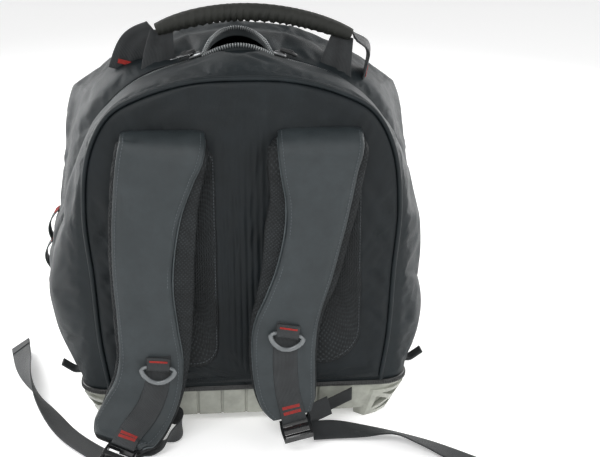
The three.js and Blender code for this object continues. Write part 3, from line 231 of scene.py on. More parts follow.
def grid_mesh(name, grid, closed_rows=False, closed_columns=False, caps=False):
    """A mesh in metres from rows of points in millimetres, mapped by its own lengths."""
    rows, columns = grid.shape[:2]
    faces = grid_faces(rows, columns, closed_rows, closed_columns)
    around = np.concatenate([grid, grid[:, :1]], axis=1) if closed_columns else grid
    down = np.concatenate([grid, grid[:1]], axis=0) if closed_rows else grid
    across_step = np.linalg.norm(np.diff(around, axis=1), axis=2).mean(axis=0)
    down_step = np.linalg.norm(np.diff(down, axis=0), axis=2).mean(axis=1)
    across = np.concatenate([[0.0], np.cumsum(across_step)]) * MM
    along = np.concatenate([[0.0], np.cumsum(down_step)]) * MM
    flat = []
    for row in range(rows if closed_rows else rows - 1):
        for column in range(columns if closed_columns else columns - 1):
            corners = ((row, column), (row, column + 1), (row + 1, column + 1), (row + 1, column))
            flat.extend((across[c], along[r]) for r, c in corners)
    points = grid.reshape(-1, 3) * MM
    if caps:
        for row, turned in ((0, True), (rows - 1, False)):
            ring = [row * columns + column for column in range(columns)]
            faces.append(tuple(reversed(ring)) if turned else tuple(ring))
            order = reversed(range(columns)) if turned else range(columns)
            flat.extend((across[c], along[row] + 0.001) for c in order)
    mesh = bpy.data.meshes.new(name)
    mesh.from_pydata([tuple(point) for point in points], [], faces)
    layer = mesh.uv_layers.new(name="cloth")
    layer.data.foreach_set("uv", np.array(flat, np.float32).ravel())
    return mesh


def piece_from(name, mesh):
    shaped = bpy.data.objects.new(name, mesh)
    CLOTHING.objects.link(shaped)
    mesh.shade_smooth()
    return shaped


def face_outwards(shaped):
    work = bmesh.new()
    work.from_mesh(shaped.data)
    bmesh.ops.remove_doubles(work, verts=work.verts, dist=1e-6)
    bmesh.ops.recalc_face_normals(work, faces=work.faces)
    work.to_mesh(shaped.data)
    work.free()
    return shaped


print("grid meshes ready")

# %% [markdown]
# Modifiers are worked out and kept as plain mesh before a piece goes on its body. Dressing a piece
# gives it its material and the body that it rides on, and hides the plain solids that it replaces.

# %% Walls and dressing
def baked(shaped):
    """The piece with its modifiers applied."""
    graph = bpy.context.evaluated_depsgraph_get()
    mesh = bpy.data.meshes.new_from_object(shaped.evaluated_get(graph))
    shaped.modifiers.clear()
    shaped.data = mesh
    return shaped


def walled(shaped, thick):
    modifier = shaped.modifiers.new("wall", "SOLIDIFY")
    modifier.thickness = thick * MM
    modifier.offset = -1.0
    return baked(shaped)


def dress(shaped, material, nodes=(), body=BAG):
    shaped.data.materials.clear()
    shaped.data.materials.append(material)
    shaped.data.shade_smooth()
    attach(shaped, body)
    if nodes:
        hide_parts(*nodes)
    print(shaped.name, "has", len(shaped.data.polygons), "faces")
    return shaped


print("walls and dressing ready")

# %% [markdown]
# Cord, webbing and bound edges are one small section carried along a path, so one helper makes them
# all. The sections are a ring for cord, and a flat band with rounded edges for webbing.

# %% Sections along a path
def swept(name, points, across, section, caps=True, closed=False):
    """A section of (side, up) pairs carried along a path; up is square to the path and to across."""
    along = unit(np.roll(points, -1, axis=0) - np.roll(points, 1, axis=0)) if closed else tangents(points)
    side = unit(across - np.sum(across * along, axis=1, keepdims=True) * along)
    up = np.cross(along, side)
    grid = np.array([[p + s * a + t * u for s, t in section] for p, a, u in zip(points, side, up)])
    return face_outwards(piece_from(name, grid_mesh(name, grid, closed, True, caps and not closed)))


def round_section(radius, sides):
    turn = np.linspace(0, 2 * math.pi, sides, endpoint=False)
    return [(radius * math.cos(a), radius * math.sin(a)) for a in turn]


def band_section(wide, thick):
    """Flat webbing with rounded edges."""
    half, depth = wide / 2, thick / 2
    flat = np.linspace(-1, 1, 9) * (half - depth)
    left = [(-half + depth - depth * math.cos(a), depth * math.sin(a)) for a in (-0.7, 0.0, 0.7)]
    right = [(half - depth + depth * math.cos(a), depth * math.sin(a)) for a in (0.7, 0.0, -0.7)]
    top = [(x, depth) for x in flat]
    bottom = [(x, -depth) for x in reversed(flat)]
    return left + top + right + bottom


print("a band's section has", len(band_section(25.0, 1.6)), "points")

# %% [markdown]
# Cloth is never flat. Folds that the photograph shows are pressed in from a table: each has a
# place, the direction that it runs in, its length, width and depth. A slow noise under them keeps
# the calm parts alive.


# %% Folds and dents
RIDGE_AT, RIDGE_SHARE = 1.7, 0.35
WAVES = 9


def vertex_array(mesh):
    places = np.empty(len(mesh.vertices) * 3, np.float32)
    mesh.vertices.foreach_get("co", places)
    return places.reshape(-1, 3).astype(float)


def normal_array(mesh):
    normals = np.empty(len(mesh.vertices) * 3, np.float32)
    mesh.vertices.foreach_get("normal", normals)
    return normals.reshape(-1, 3).astype(float)


def place_vertices(mesh, places):
    mesh.vertices.foreach_set("co", np.asarray(places, np.float32).ravel())
    mesh.update()


def fold_field(places, folds):
    """How far each place moves out, in mm, for rows of place, run, length, width and depth."""
    moved = np.zeros(len(places))
    for fold in folds:
        run = unit(np.array(fold["run"], float))
        away = places - np.array(fold["at"], float)
        along = away @ run
        aside = np.linalg.norm(away - along[:, None] * run, axis=1)
        near = np.exp(-((along / fold["long"]) ** 2))
        groove = near * np.exp(-((aside / fold["wide"]) ** 2))
        ridge = near * np.exp(-(((aside - RIDGE_AT * fold["wide"]) / fold["wide"]) ** 2))
        moved -= fold["deep"] * (groove - RIDGE_SHARE * ridge)
    return moved


def slow_noise(places, size, height, seed):
    """A few crossing waves with fixed random directions."""
    chance = np.random.default_rng(seed)
    total = np.zeros(len(places))
    for wave_number in range(WAVES):
        direction = unit(chance.normal(size=3))
        phase = chance.uniform(0, 2 * math.pi)
        stretch = size * chance.uniform(0.6, 1.6)
        bend = np.sin(places @ unit(chance.normal(size=3)) / size * 2.3) * 1.1
        total += np.sin(places @ direction * 2 * math.pi / stretch + phase + bend)
    return total / WAVES * height * 1.8


def folded(shaped, folds=(), noise=0.0, size=60.0, seed=3, held=None):
    mesh = shaped.data
    places = vertex_array(mesh) / MM
    move = fold_field(places, folds) + slow_noise(places, size, noise, seed)
    if held is not None:
        move = move * (1 - held(places))
    place_vertices(mesh, (places + normal_array(mesh) * move[:, None]) * MM)
    return shaped


print("fold helpers ready,", WAVES, "waves of noise")

# %% [markdown]
# Padding fills cloth from inside. Blender's cloth solver does the same with a little pressure,
# gravity off, and the seams pinned; sixteen frames are enough for the cloth to find its wrinkles.
# No point may travel further than a cap, so that the piece keeps its size.


# %% Cloth filling
CLOTH_SETTINGS = {"quality": 4, "mass": 0.25, "shear_stiffness": 4.0, "bending_stiffness": 0.35,
                  "air_damping": 2.0}
CLOTH_FRAMES, CLOTH_STIFFNESS = 16, 12.0


def filled_out(shaped, pressure, shrink, cap, pins):
    before = vertex_array(shaped.data)
    group = shaped.vertex_groups.new(name="seams")
    for index, weight in enumerate(pins(before / MM)):
        if weight > 0.01:
            group.add([index], float(weight), "REPLACE")
    modifier = shaped.modifiers.new("cloth", "CLOTH")
    settings = modifier.settings
    for label, value in CLOTH_SETTINGS.items():
        setattr(settings, label, value)
    settings.tension_stiffness = CLOTH_STIFFNESS
    settings.compression_stiffness = CLOTH_STIFFNESS
    settings.effector_weights.gravity = 0.0
    settings.shrink_min = shrink
    settings.use_pressure = pressure > 0
    settings.uniform_pressure_force = pressure
    settings.vertex_group_mass = group.name
    modifier.collision_settings.use_collision = False
    modifier.point_cache.frame_start = 1
    modifier.point_cache.frame_end = CLOTH_FRAMES
    scene = bpy.context.scene
    for frame_number in range(1, CLOTH_FRAMES + 1):
        scene.frame_set(frame_number)
    graph = bpy.context.evaluated_depsgraph_get()
    settled = shaped.evaluated_get(graph).to_mesh()
    after = vertex_array(settled)
    shaped.evaluated_get(graph).to_mesh_clear()
    shaped.modifiers.clear()
    shaped.vertex_groups.clear()
    scene.frame_set(1)
    move = after - before
    length = np.linalg.norm(move, axis=1, keepdims=True)
    limit = cap * MM
    softened = limit * np.tanh(length / limit)
    place_vertices(shaped.data, before + move / np.maximum(length, 1e-9) * softened)
    print(shaped.name, "moved at most", round(float(softened.max()) / MM, 1), "mm")
    return shaped


print("cloth helper ready,", CLOTH_FRAMES, "frames")

# %% [markdown]
# Fabrics share a few effects, so each is a node group with named inputs. These helpers make an
# empty group, a maths node and a wave. The weaves read each piece's flat map, so that their threads
# run with the cloth.


# %% Node helpers
def new_group(name, inputs, outputs):
    tree = bpy.data.node_groups.new(name, "ShaderNodeTree")
    for label, value in inputs:
        socket = tree.interface.new_socket(label, in_out="INPUT", socket_type="NodeSocketFloat")
        socket.default_value = value
    for label in outputs:
        tree.interface.new_socket(label, in_out="OUTPUT", socket_type="NodeSocketFloat")
    start = tree.nodes.new("NodeGroupInput")
    end = tree.nodes.new("NodeGroupOutput")
    return tree, start, end


def maths(tree, operation, first, second=None):
    node = tree.nodes.new("ShaderNodeMath")
    node.operation = operation
    for slot, value in enumerate((first, second)):
        if value is None:
            continue
        if isinstance(value, (int, float)):
            node.inputs[slot].default_value = value
        else:
            tree.links.new(value, node.inputs[slot])
    return node.outputs[0]


def wave(tree, place, rate):
    return maths(tree, "SINE", maths(tree, "MULTIPLY", place, rate))


def flat_map(tree):
    node = tree.nodes.new("ShaderNodeUVMap")
    node.uv_map = "cloth"
    split = tree.nodes.new("ShaderNodeSeparateXYZ")
    tree.links.new(node.outputs[0], split.inputs[0])
    return split.outputs[0], split.outputs[1]


print("node helpers ready")

# %% [markdown]
# A plain weave is two waves that cross, with a little slub, the unevenness of thick and thin
# threads. Webbing has ribs along it and fine picks that lean across it.

# %% Weave and ribs
def weave_group():
    tree, start, end = new_group("plain_weave", [("Threads", 900.0), ("Slub", 0.3)], ["Height", "Shade"])
    across, along = flat_map(tree)
    warp = maths(tree, "MULTIPLY", across, start.outputs["Threads"])
    weft = maths(tree, "MULTIPLY", along, start.outputs["Threads"])
    crossing = maths(tree, "MULTIPLY", wave(tree, warp, math.pi), wave(tree, weft, math.pi))
    bumps = maths(tree, "ABSOLUTE", crossing)
    noise = tree.nodes.new("ShaderNodeTexNoise")
    noise.inputs["Scale"].default_value = 260.0
    noise.inputs["Detail"].default_value = 3.0
    place = tree.nodes.new("ShaderNodeTexCoord")
    tree.links.new(place.outputs["Object"], noise.inputs["Vector"])
    uneven = maths(tree, "MULTIPLY", noise.outputs["Fac"], start.outputs["Slub"])
    tree.links.new(maths(tree, "ADD", bumps, uneven), end.inputs["Height"])
    shade = maths(tree, "ADD", maths(tree, "MULTIPLY", bumps, 0.5), uneven)
    tree.links.new(shade, end.inputs["Shade"])
    return tree


def rib_group():
    tree, start, end = new_group("webbing_ribs", [("Ribs", 2300.0), ("Picks", 2800.0)],
                                 ["Height", "Shade"])
    across, along = flat_map(tree)
    rib = maths(tree, "ABSOLUTE", wave(tree, across, start.outputs["Ribs"]))
    lean = maths(tree, "ADD", along, maths(tree, "MULTIPLY", across, 0.6))
    pick = maths(tree, "ABSOLUTE", wave(tree, lean, start.outputs["Picks"]))
    height = maths(tree, "ADD", rib, maths(tree, "MULTIPLY", pick, 0.35))
    tree.links.new(height, end.inputs["Height"])
    tree.links.new(maths(tree, "MULTIPLY", height, 0.7), end.inputs["Shade"])
    return tree


WEAVE, RIBS = weave_group(), rib_group()
print("shader groups:", WEAVE.name, RIBS.name)

# %% [markdown]
# Spacer mesh is a knit with rows of small dark holes between its ridges. The last group is the dust
# and rubbing that every used bag has; it reads the object's own coordinates, because dust doesn't
# follow the threads.

# %% Knit and dust
def knit_group():
    tree, start, end = new_group("knit_mesh", [("Holes", 900.0), ("Rows", 700.0)], ["Height", "Hole"])
    across, along = flat_map(tree)
    column = wave(tree, across, maths(tree, "MULTIPLY", start.outputs["Holes"], 2.0))
    row = wave(tree, along, maths(tree, "MULTIPLY", start.outputs["Rows"], 2.0))
    hole = maths(tree, "SMOOTH_MAX", maths(tree, "MULTIPLY", column, row), 0.0)
    ridge = maths(tree, "ABSOLUTE", wave(tree, along, start.outputs["Rows"]))
    height = maths(tree, "SUBTRACT", maths(tree, "MULTIPLY", ridge, 0.7), hole)
    tree.links.new(height, end.inputs["Height"])
    tree.links.new(hole, end.inputs["Hole"])
    return tree


def wear_group():
    tree, start, end = new_group("dust_and_rub", [("Scale", 9.0), ("Fine", 60.0)], ["Dust", "Height"])
    place = tree.nodes.new("ShaderNodeTexCoord")
    clouds = []
    for name in ("Scale", "Fine"):
        noise = tree.nodes.new("ShaderNodeTexNoise")
        noise.inputs["Detail"].default_value = 5.0
        noise.inputs["Roughness"].default_value = 0.6
        tree.links.new(place.outputs["Object"], noise.inputs["Vector"])
        tree.links.new(start.outputs[name], noise.inputs["Scale"])
        clouds.append(noise.outputs["Fac"])
    mixed = maths(tree, "MULTIPLY", clouds[0], clouds[1])
    tree.links.new(maths(tree, "MULTIPLY", mixed, 1.6), end.inputs["Dust"])
    tree.links.new(clouds[1], end.inputs["Height"])
    return tree


KNIT, WEAR = knit_group(), wear_group()
print("shader groups:", KNIT.name, WEAR.name)

# %% [markdown]
# Every finish is one shader with two colours, its own and that of its light threads or dust, mixed
# by the effects above. Colours are given as the photograph shows them, and turned into linear light
# here.


# %% One shader for every finish
def linear(red, green, blue):
    shares = [value / 255 for value in (red, green, blue)]
    return tuple((s / 12.92 if s < 0.04045 else ((s + 0.055) / 1.055) ** 2.4) for s in shares) + (1.0,)


def finish_of(name, base, light, rough, effect=None, effect_inputs=None, bump=0.0, depth=0.0002,
              gloss=0.3, coat=0.0, metal=0.0, wear=0.4):
    material = bpy.data.materials.new(name)
    material.use_nodes = True
    tree = material.node_tree
    shader = tree.nodes["Principled BSDF"]
    shader.inputs["Metallic"].default_value = metal
    shader.inputs["Coat Weight"].default_value = coat
    shader.inputs["Coat Roughness"].default_value = 0.15
    shader.inputs["Specular IOR Level"].default_value = gloss
    dust = tree.nodes.new("ShaderNodeGroup")
    dust.node_tree = WEAR
    share = maths(tree, "MULTIPLY", dust.outputs["Dust"], wear)
    height = maths(tree, "MULTIPLY", dust.outputs["Height"], 0.25)
    if effect is not None:
        group = tree.nodes.new("ShaderNodeGroup")
        group.node_tree = effect
        for label, value in (effect_inputs or {}).items():
            group.inputs[label].default_value = value
        second = group.outputs[1]
        share = maths(tree, "MULTIPLY", share, maths(tree, "ADD", second, 0.45))
        height = maths(tree, "ADD", height, group.outputs["Height"])
    mix = tree.nodes.new("ShaderNodeMix")
    mix.data_type = "RGBA"
    mix.inputs["A"].default_value = base
    mix.inputs["B"].default_value = light
    tree.links.new(share, mix.inputs["Factor"])
    tree.links.new(mix.outputs["Result"], shader.inputs["Base Color"])
    dull = maths(tree, "MULTIPLY", dust.outputs["Dust"], 0.25)
    tree.links.new(maths(tree, "ADD", dull, rough - 0.08), shader.inputs["Roughness"])
    if bump:
        node = tree.nodes.new("ShaderNodeBump")
        node.inputs["Strength"].default_value = bump
        node.inputs["Distance"].default_value = depth
        tree.links.new(height, node.inputs["Height"])
        tree.links.new(node.outputs["Normal"], shader.inputs["Normal"])
    return material


print("the shader helper is ready")

# %% [markdown]
# The cloths differ in colour, in the fineness of their threads and in gloss: dark matt nylon,
# smoother strap cloth, a paler cloth on the strap edges whose pale tone is a painted highlight,
# black spacer mesh, webbing, and the brown-grey cloth of the grip.

# %% Cloth finishes
NYLON = finish_of("nylon", linear(10, 16, 18), linear(54, 63, 68), 0.5, WEAVE, {"Threads": 1300.0},
                  0.5, gloss=0.22)
# The back panel's cloth is the shells' nylon painted darker, as painted shade on the panel's face.
SHADED_PANEL_NYLON = finish_of("back_panel_cloth", linear(7, 12, 14), linear(47, 55, 60), 0.46, WEAVE,
                        {"Threads": 1300.0}, 0.5, gloss=0.22)
STRAP_CLOTH = finish_of("strap_cloth", linear(27, 33, 35), linear(84, 92, 96), 0.46, WEAVE,
                        {"Threads": 1500.0}, 0.45, gloss=0.34)
# Pale cloth for the strap edges, a painted highlight along each edge.
EDGE_HIGHLIGHT_CLOTH = finish_of("strap_edge_painted_highlight", linear(44, 51, 54), linear(126, 134, 136), 0.45, WEAVE,
                       {"Threads": 1100.0}, 0.5, gloss=0.4)
AIR_MESH = finish_of("air_mesh", linear(6, 7, 8), linear(84, 90, 93), 0.7, KNIT, {}, 0.9, 0.0007,
                     gloss=0.24)
WEBBING = finish_of("webbing", linear(15, 17, 19), linear(84, 88, 90), 0.55, RIBS, {}, 0.8, 0.0004,
                    gloss=0.35)
GREY_WEBBING = finish_of("side_webbing_cloth", linear(50, 56, 58), linear(130, 134, 132), 0.6, RIBS,
                         {}, 0.8, 0.0004, gloss=0.35)
GRIP_CLOTH = finish_of("grip_cloth", linear(19, 20, 18), linear(66, 68, 61), 0.6, WEAVE,
                       {"Threads": 1100.0}, 0.5, gloss=0.3)
print("cloth finishes from", NYLON.name, "to", GRIP_CLOTH.name)

# %% [markdown]
# The base is pale, dusty rubber and its rim a dark one. The rest are small trims: zip teeth and
# tape, sliders, cord, plastic rings and locks, and threads.

# %% Finishes of base and trims
RUBBER = finish_of("base_rubber", linear(108, 110, 103), linear(216, 218, 206), 0.34, None, None,
                   0.25, wear=0.6, gloss=0.5)
RIM_RUBBER = finish_of("rim_rubber", linear(16, 17, 18), linear(80, 82, 80), 0.4, None, None, 0.25,
                       wear=0.4, gloss=0.5)
WING_CLOTH = finish_of("wing_cloth", linear(9, 10, 11), linear(56, 60, 62), 0.5, WEAVE,
                       {"Threads": 1100.0}, 0.5)
ZIP_TEETH = finish_of("zip_teeth", linear(112, 116, 118), linear(200, 202, 200), 0.3, None, None,
                      0.1, 0.0001, metal=0.3, gloss=0.5)
ZIP_TAPE = finish_of("zip_tape", linear(24, 29, 31), linear(80, 86, 88), 0.6, RIBS,
                     {"Ribs": 2600.0}, 0.6, gloss=0.3)
SLIDER = finish_of("zip_slider", linear(90, 92, 94), linear(210, 212, 212), 0.22, None, None, 0.1,
                   0.0001, metal=0.9, gloss=0.5)
CORD = finish_of("zip_cord", linear(12, 13, 14), linear(60, 62, 64), 0.5, RIBS, {"Ribs": 1800.0},
                 0.6, gloss=0.4)
GREY_PLASTIC = finish_of("grey_plastic", linear(74, 78, 80), linear(140, 144, 146), 0.22, None,
                         None, 0.12, 0.0001, coat=0.3, gloss=0.5)
BLACK_PLASTIC = finish_of("black_plastic", linear(10, 11, 12), linear(50, 52, 54), 0.24, None, None,
                          0.12, 0.0001, coat=0.3, wear=0.3, gloss=0.5)
THREAD = finish_of("thread", linear(70, 76, 80), linear(120, 126, 130), 0.6, None, None, 0.1,
                   0.0001, gloss=0.3)
RED_THREAD = finish_of("red_thread", linear(150, 26, 22), linear(200, 80, 70), 0.6, None, None, 0.1,
                       0.0001, gloss=0.3)
print("trim finishes from", RUBBER.name, "to", RED_THREAD.name)

# %% [markdown]
# The bag is two cloth tubs that meet at the zip. Each seam is an outline from the hem over the
# crown and down again, and the cloth between two seams is blended from them. The numbers are those
# of the solid model, in millimetres.

# %% Seams
BACK, ZIP_LINE, FRONT = -118.0, -25.0, 118.0
ZIP_HALF = 4.0
HEM, CROWN = 46.0, 400.0
BASE_HALF, BASE_DEEP, BASE_CORNER = 172.0, 117.0, 28.0
SLUMP_AT, SLUMP_SPREAD = 0.28, 0.2
CLOTH = 2.0
SEAMS = {
    "panel": {"half": 161, "slump": 0, "top": 375, "tension": 0.5, "rows": [
        (0.945, 0.17), (0.97, 0.38), (1.0, 0.577), (0.963, 0.758), (0.832, 0.888), (0.61, 0.952),
        (0.31, 0.992)]},
    "zip": {"half": 197, "slump": 7, "top": 388, "tension": 0.5, "rows": [
        (0.985, 0.135), (1.0, 0.297), (0.946, 0.5), (0.837, 0.69), (0.714, 0.815), (0.517, 0.909),
        (0.236, 0.965)]},
    "belly": {"half": 202, "slump": 9, "top": 397, "tension": 0.5, "rows": [
        (0.985, 0.13), (1.0, 0.286), (0.948, 0.513), (0.876, 0.697), (0.786, 0.824), (0.562, 0.918),
        (0.262, 0.98)]},
    "shoulder": {"half": 197, "slump": 9, "top": 400, "tension": 0.12, "rows": [
        (0.985, 0.13), (1.0, 0.298), (0.99, 0.55), (0.955, 0.72), (0.909, 0.806), (0.646, 0.904),
        (0.313, 0.978)]},
    "face": {"half": 154, "slump": 4, "top": 358, "tension": 0.3, "rows": [
        (0.985, 0.147), (1.0, 0.34), (0.987, 0.596), (0.96, 0.756), (0.895, 0.853), (0.645, 0.942),
        (0.316, 0.987)]},
}
REAR_SECTIONS = [(0, "panel", "zip", 0), (0.1, "panel", "zip", 0.38), (0.34, "panel", "zip", 0.78),
                 (0.68, "panel", "zip", 0.97), (1, "panel", "zip", 1)]
FRONT_SECTIONS = [(0, "zip", "belly", 0), (0.1, "zip", "belly", 0.55), (0.3, "zip", "belly", 1),
                  (0.52, "belly", "shoulder", 0.6), (0.7, "belly", "shoulder", 1),
                  (0.9, "shoulder", "face", 0.45), (1, "shoulder", "face", 1)]
SEAM_STEPS = 260


def seam_outline(seam, depth, steps):
    past = min(max(abs(depth) - (BASE_DEEP - BASE_CORNER), 0.0), BASE_CORNER)
    foot = BASE_HALF - BASE_CORNER + math.sqrt(BASE_CORNER**2 - past**2)
    sides = []
    for sign in (1, -1):
        side = [(sign * foot, depth, HEM)]
        for across, up in seam["rows"]:
            fullness = max(0.0, 1 - abs(up - SLUMP_AT) / SLUMP_SPREAD)
            x = sign * across * seam["half"] - fullness * seam["slump"]
            side.append((x, depth, HEM + up * (seam["top"] - HEM)))
        sides.append(side)
    knots = sides[0] + [(0, depth, seam["top"])] + sides[1][::-1]
    return curve_points(knots, np.linspace(0, 1, steps + 1), seam["tension"])


def section_rings(sections, start, end, steps):
    rings = []
    for deep, before, after, gone in sections:
        depth = start + deep * (end - start)
        first = seam_outline(SEAMS[before], depth, steps)
        second = seam_outline(SEAMS[after], depth, steps)
        rings.append(first + (second - first) * gone)
    return np.array(rings)


REAR_RINGS = section_rings(REAR_SECTIONS, BACK, ZIP_LINE - ZIP_HALF, SEAM_STEPS)
FRONT_RINGS = section_rings(FRONT_SECTIONS, ZIP_LINE + ZIP_HALF, FRONT, SEAM_STEPS)
print("rear rings", REAR_RINGS.shape, "front rings", FRONT_RINGS.shape)

# %% [markdown]
# A few small questions come up again and again: how high is the bag at this place, how wide is it
# at that height. They are answered from the outlines, so that zip, handle and side webbing sit on
# the cloth.


# %% Places on the bag
def ring_at(depth):
    rings = np.concatenate([REAR_RINGS, FRONT_RINGS])
    depths = rings[:, 0, 1]
    at = int(np.clip(np.searchsorted(depths, depth) - 1, 0, len(rings) - 2))
    share = np.clip((depth - depths[at]) / (depths[at + 1] - depths[at]), 0, 1)
    ring = rings[at] + (rings[at + 1] - rings[at]) * share
    ring[:, 1] = depth
    return ring


def top_at(x, depth):
    ring = ring_at(depth)
    upper = ring[ring[:, 2] > 200.0]
    order = np.argsort(upper[:, 0])
    return float(np.interp(x, upper[order, 0], upper[order, 2]))


def side_at(height, depth, sign):
    ring = ring_at(depth)
    half = ring[ring[:, 0] * sign > 100.0]
    order = np.argsort(half[:, 2])
    return float(np.interp(height, half[order, 2], half[order, 0]))


print("crown at the zip", round(top_at(0.0, ZIP_LINE), 1))

# %% [markdown]
# The folds that the photograph shows in the shells run inwards from the seams, where the cloth is
# pulled, and across the crown, where it sags. Each row gives one fold's middle, its direction, and
# its sizes in millimetres.

# %% Shell folds
SHELL_FOLDS = {
    "rear_cloth": [
        {"at": (-176, -80, 190), "run": (0.5, -0.6, 0.5), "long": 26, "wide": 6, "deep": 2.6},
        {"at": (-170, -92, 150), "run": (0.3, -0.7, 0.55), "long": 30, "wide": 6, "deep": 2.4},
        {"at": (-158, -100, 262), "run": (0.2, -0.8, -0.5), "long": 24, "wide": 5, "deep": 2.2},
        {"at": (-160, -96, 238), "run": (0.3, -0.7, 0.5), "long": 20, "wide": 5, "deep": 2.2},
        {"at": (-178, -60, 110), "run": (0.1, -0.9, 0.3), "long": 30, "wide": 8, "deep": 2.6},
        {"at": (168, -90, 120), "run": (0.2, -0.8, -0.4), "long": 28, "wide": 7, "deep": 2.4},
        {"at": (172, -80, 210), "run": (0.2, 0.9, 0.4), "long": 28, "wide": 7, "deep": 2.4},
        {"at": (160, -84, 280), "run": (0.5, 0.8, -0.3), "long": 22, "wide": 6, "deep": 2.2},
        {"at": (-60, -78, 384), "run": (1, 0.5, -0.2), "long": 24, "wide": 7, "deep": 2.6},
        {"at": (20, -84, 386), "run": (1, -0.6, 0), "long": 20, "wide": 6, "deep": 2.2},
        {"at": (78, -74, 370), "run": (0.8, 0.7, -0.4), "long": 24, "wide": 7, "deep": 2.6},
    ],
    "front_cloth": [
        {"at": (-208, 30, 180), "run": (0, 0.9, 0.4), "long": 40, "wide": 9, "deep": 3.4},
        {"at": (-206, 60, 110), "run": (0, 0.9, -0.3), "long": 40, "wide": 9, "deep": 3.2},
        {"at": (-196, 40, 250), "run": (0, 0.8, 0.6), "long": 34, "wide": 8, "deep": 3.0},
        {"at": (200, 30, 150), "run": (0, 0.9, 0.4), "long": 40, "wide": 9, "deep": 3.4},
        {"at": (194, 60, 240), "run": (0, 0.9, -0.4), "long": 34, "wide": 8, "deep": 3.0},
        {"at": (110, 30, 372), "run": (0.7, 0.7, -0.2), "long": 34, "wide": 8, "deep": 3.0},
        {"at": (-120, 30, 370), "run": (0.7, -0.7, 0.2), "long": 34, "wide": 8, "deep": 3.0},
        {"at": (-60, 118, 150), "run": (1, 0, 0.3), "long": 70, "wide": 10, "deep": 3.0},
        {"at": (50, 118, 240), "run": (1, 0, -0.2), "long": 80, "wide": 12, "deep": 3.0},
    ],
}
print(sum(len(folds) for folds in SHELL_FOLDS.values()), "folds in the shells")

# %% [markdown]
# Each tub is a loft through its outlines, closed towards the back or the front by rings that shrink
# to the middle of its hem. Its points near a seam are held while the cloth is filled.

# %% Shell lofts
CAP_SHARES = (0.97, 0.92, 0.84, 0.74, 0.62, 0.48, 0.34, 0.2, 0.08, 0.004)
CAP_FADE, HEM_HOLD = 60.0, 7.0


def closed_tub(name, rings, rows, closed_first, crown):
    shares = np.linspace(0, 1, rows)
    walls = curve_points(rings.reshape(len(rings), -1), shares, 0.5).reshape(rows, -1, 3)
    end = walls[0] if closed_first else walls[-1]
    middle = np.array([0.0, end[0, 1], HEM])
    away = -1 if closed_first else 1
    caps = []
    for share in CAP_SHARES:
        cap = middle + (end - middle) * share
        cap[:, 1] += away * crown * (1 - share**2) ** 0.6 * np.minimum((cap[:, 2] - HEM) / CAP_FADE, 1.0)
        caps.append(cap)
    grid = np.array(caps[::-1] + list(walls)) if closed_first else np.array(list(walls) + caps)
    shaped = piece_from(name, grid_mesh(name, grid))
    return face_outwards(shaped)


def near_seams(depths, soft):
    def weights(places):
        near = np.min([np.abs(places[:, 1] - depth) for depth in depths], axis=0)
        return np.maximum(np.exp(-((near / soft) ** 2)),
                          np.exp(-(((places[:, 2] - HEM) / HEM_HOLD) ** 2)))

    return weights


print("loft helpers ready")

# %% [markdown]
# Cloth pressure rounds each tub between its seams, folds are pressed in, and a wall gives it
# thickness. The zip mouth is cut last, through the crown, with a lens-shaped block.

# %% Zip mouth and tubs
MOUTH_HALF, MOUTH_REAR, MOUTH_FRONT = 36.0, 13.0, 42.0
BLOCK_LOW, BLOCK_HIGH = 340.0, 440.0


def mouth_block():
    turn = np.linspace(-1, 1, 41)
    outline = [(MOUTH_HALF * t, ZIP_LINE + ZIP_HALF + MOUTH_FRONT * (1 - t * t)) for t in turn]
    outline += [(MOUTH_HALF * t, ZIP_LINE - ZIP_HALF - MOUTH_REAR * (1 - t * t)) for t in turn[::-1]]
    grid = np.array([[(x, y, z) for x, y in outline] for z in (BLOCK_LOW, BLOCK_HIGH)])
    return face_outwards(piece_from("mouth_block", grid_mesh("mouth_block", grid, False, True, True)))


def cut_by(shaped, block):
    modifier = shaped.modifiers.new("mouth", "BOOLEAN")
    modifier.operation = "DIFFERENCE"
    modifier.solver = "EXACT"
    modifier.object = block
    return baked(shaped)


MOUTH_BLOCK = mouth_block()


def tub(name, rings, rows, closed_first, crown, seams, node, seed):
    shaped = closed_tub(name, rings, rows, closed_first, crown)
    filled_out(shaped, 2.0, -0.02, 4.0, near_seams(seams, 6.0))
    folded(shaped, SHELL_FOLDS[name], noise=1.1, size=55.0, seed=seed, held=near_seams(seams, 4.0))
    walled(shaped, CLOTH)
    cut_by(shaped, MOUTH_BLOCK)
    dress(shaped, NYLON, (node,))
    return shaped


tub("rear_cloth", REAR_RINGS, 34, True, 0.0, (BACK, ZIP_LINE), "rear_shell", 5)
tub("front_cloth", FRONT_RINGS, 48, False, 4.0, (ZIP_LINE, 40.0, 78.0), "front_shell", 8)
bpy.data.objects.remove(MOUTH_BLOCK)

# %% [markdown]
# The back panel is a foam pad inside the piping of its seam. It is one closed dome whose height is
# worked out from how far a place is from the rim: the same rule carries the mesh pads and the
# ribbed channel between them.

# %% Back panel shape
PIPING = 2.4
GAP = 0.3
PANEL_THICK, PANEL_CROWN = 6.0, 4.0
PANEL_RISE = np.array([(1.0, 0.6, 0.0), (0.975, 0.92, 0.05), (0.9, 1.0, 0.3), (0.6, 1.0, 0.8),
                       (0.0, 1.0, 1.0)])
PANEL_MIDDLE = np.array([0.0, BACK, (375.0 + HEM) / 2])
PANEL_POLE = np.array([0.0, BACK, 60.0])
CHANNEL_HALF, CHANNEL_LOW, CHANNEL_TOP = 25.0, 70.0, 330.0
CHANNEL_PITCH, RIB_HIGH, CHANNEL_DEEP = 6.2, 1.1, 1.2


def inset_ring(ring, distance):
    along = unit(np.roll(ring, -1, axis=0) - np.roll(ring, 1, axis=0))
    normal = np.cross(np.array([0.0, 1.0, 0.0]), along)
    return ring - normal * distance


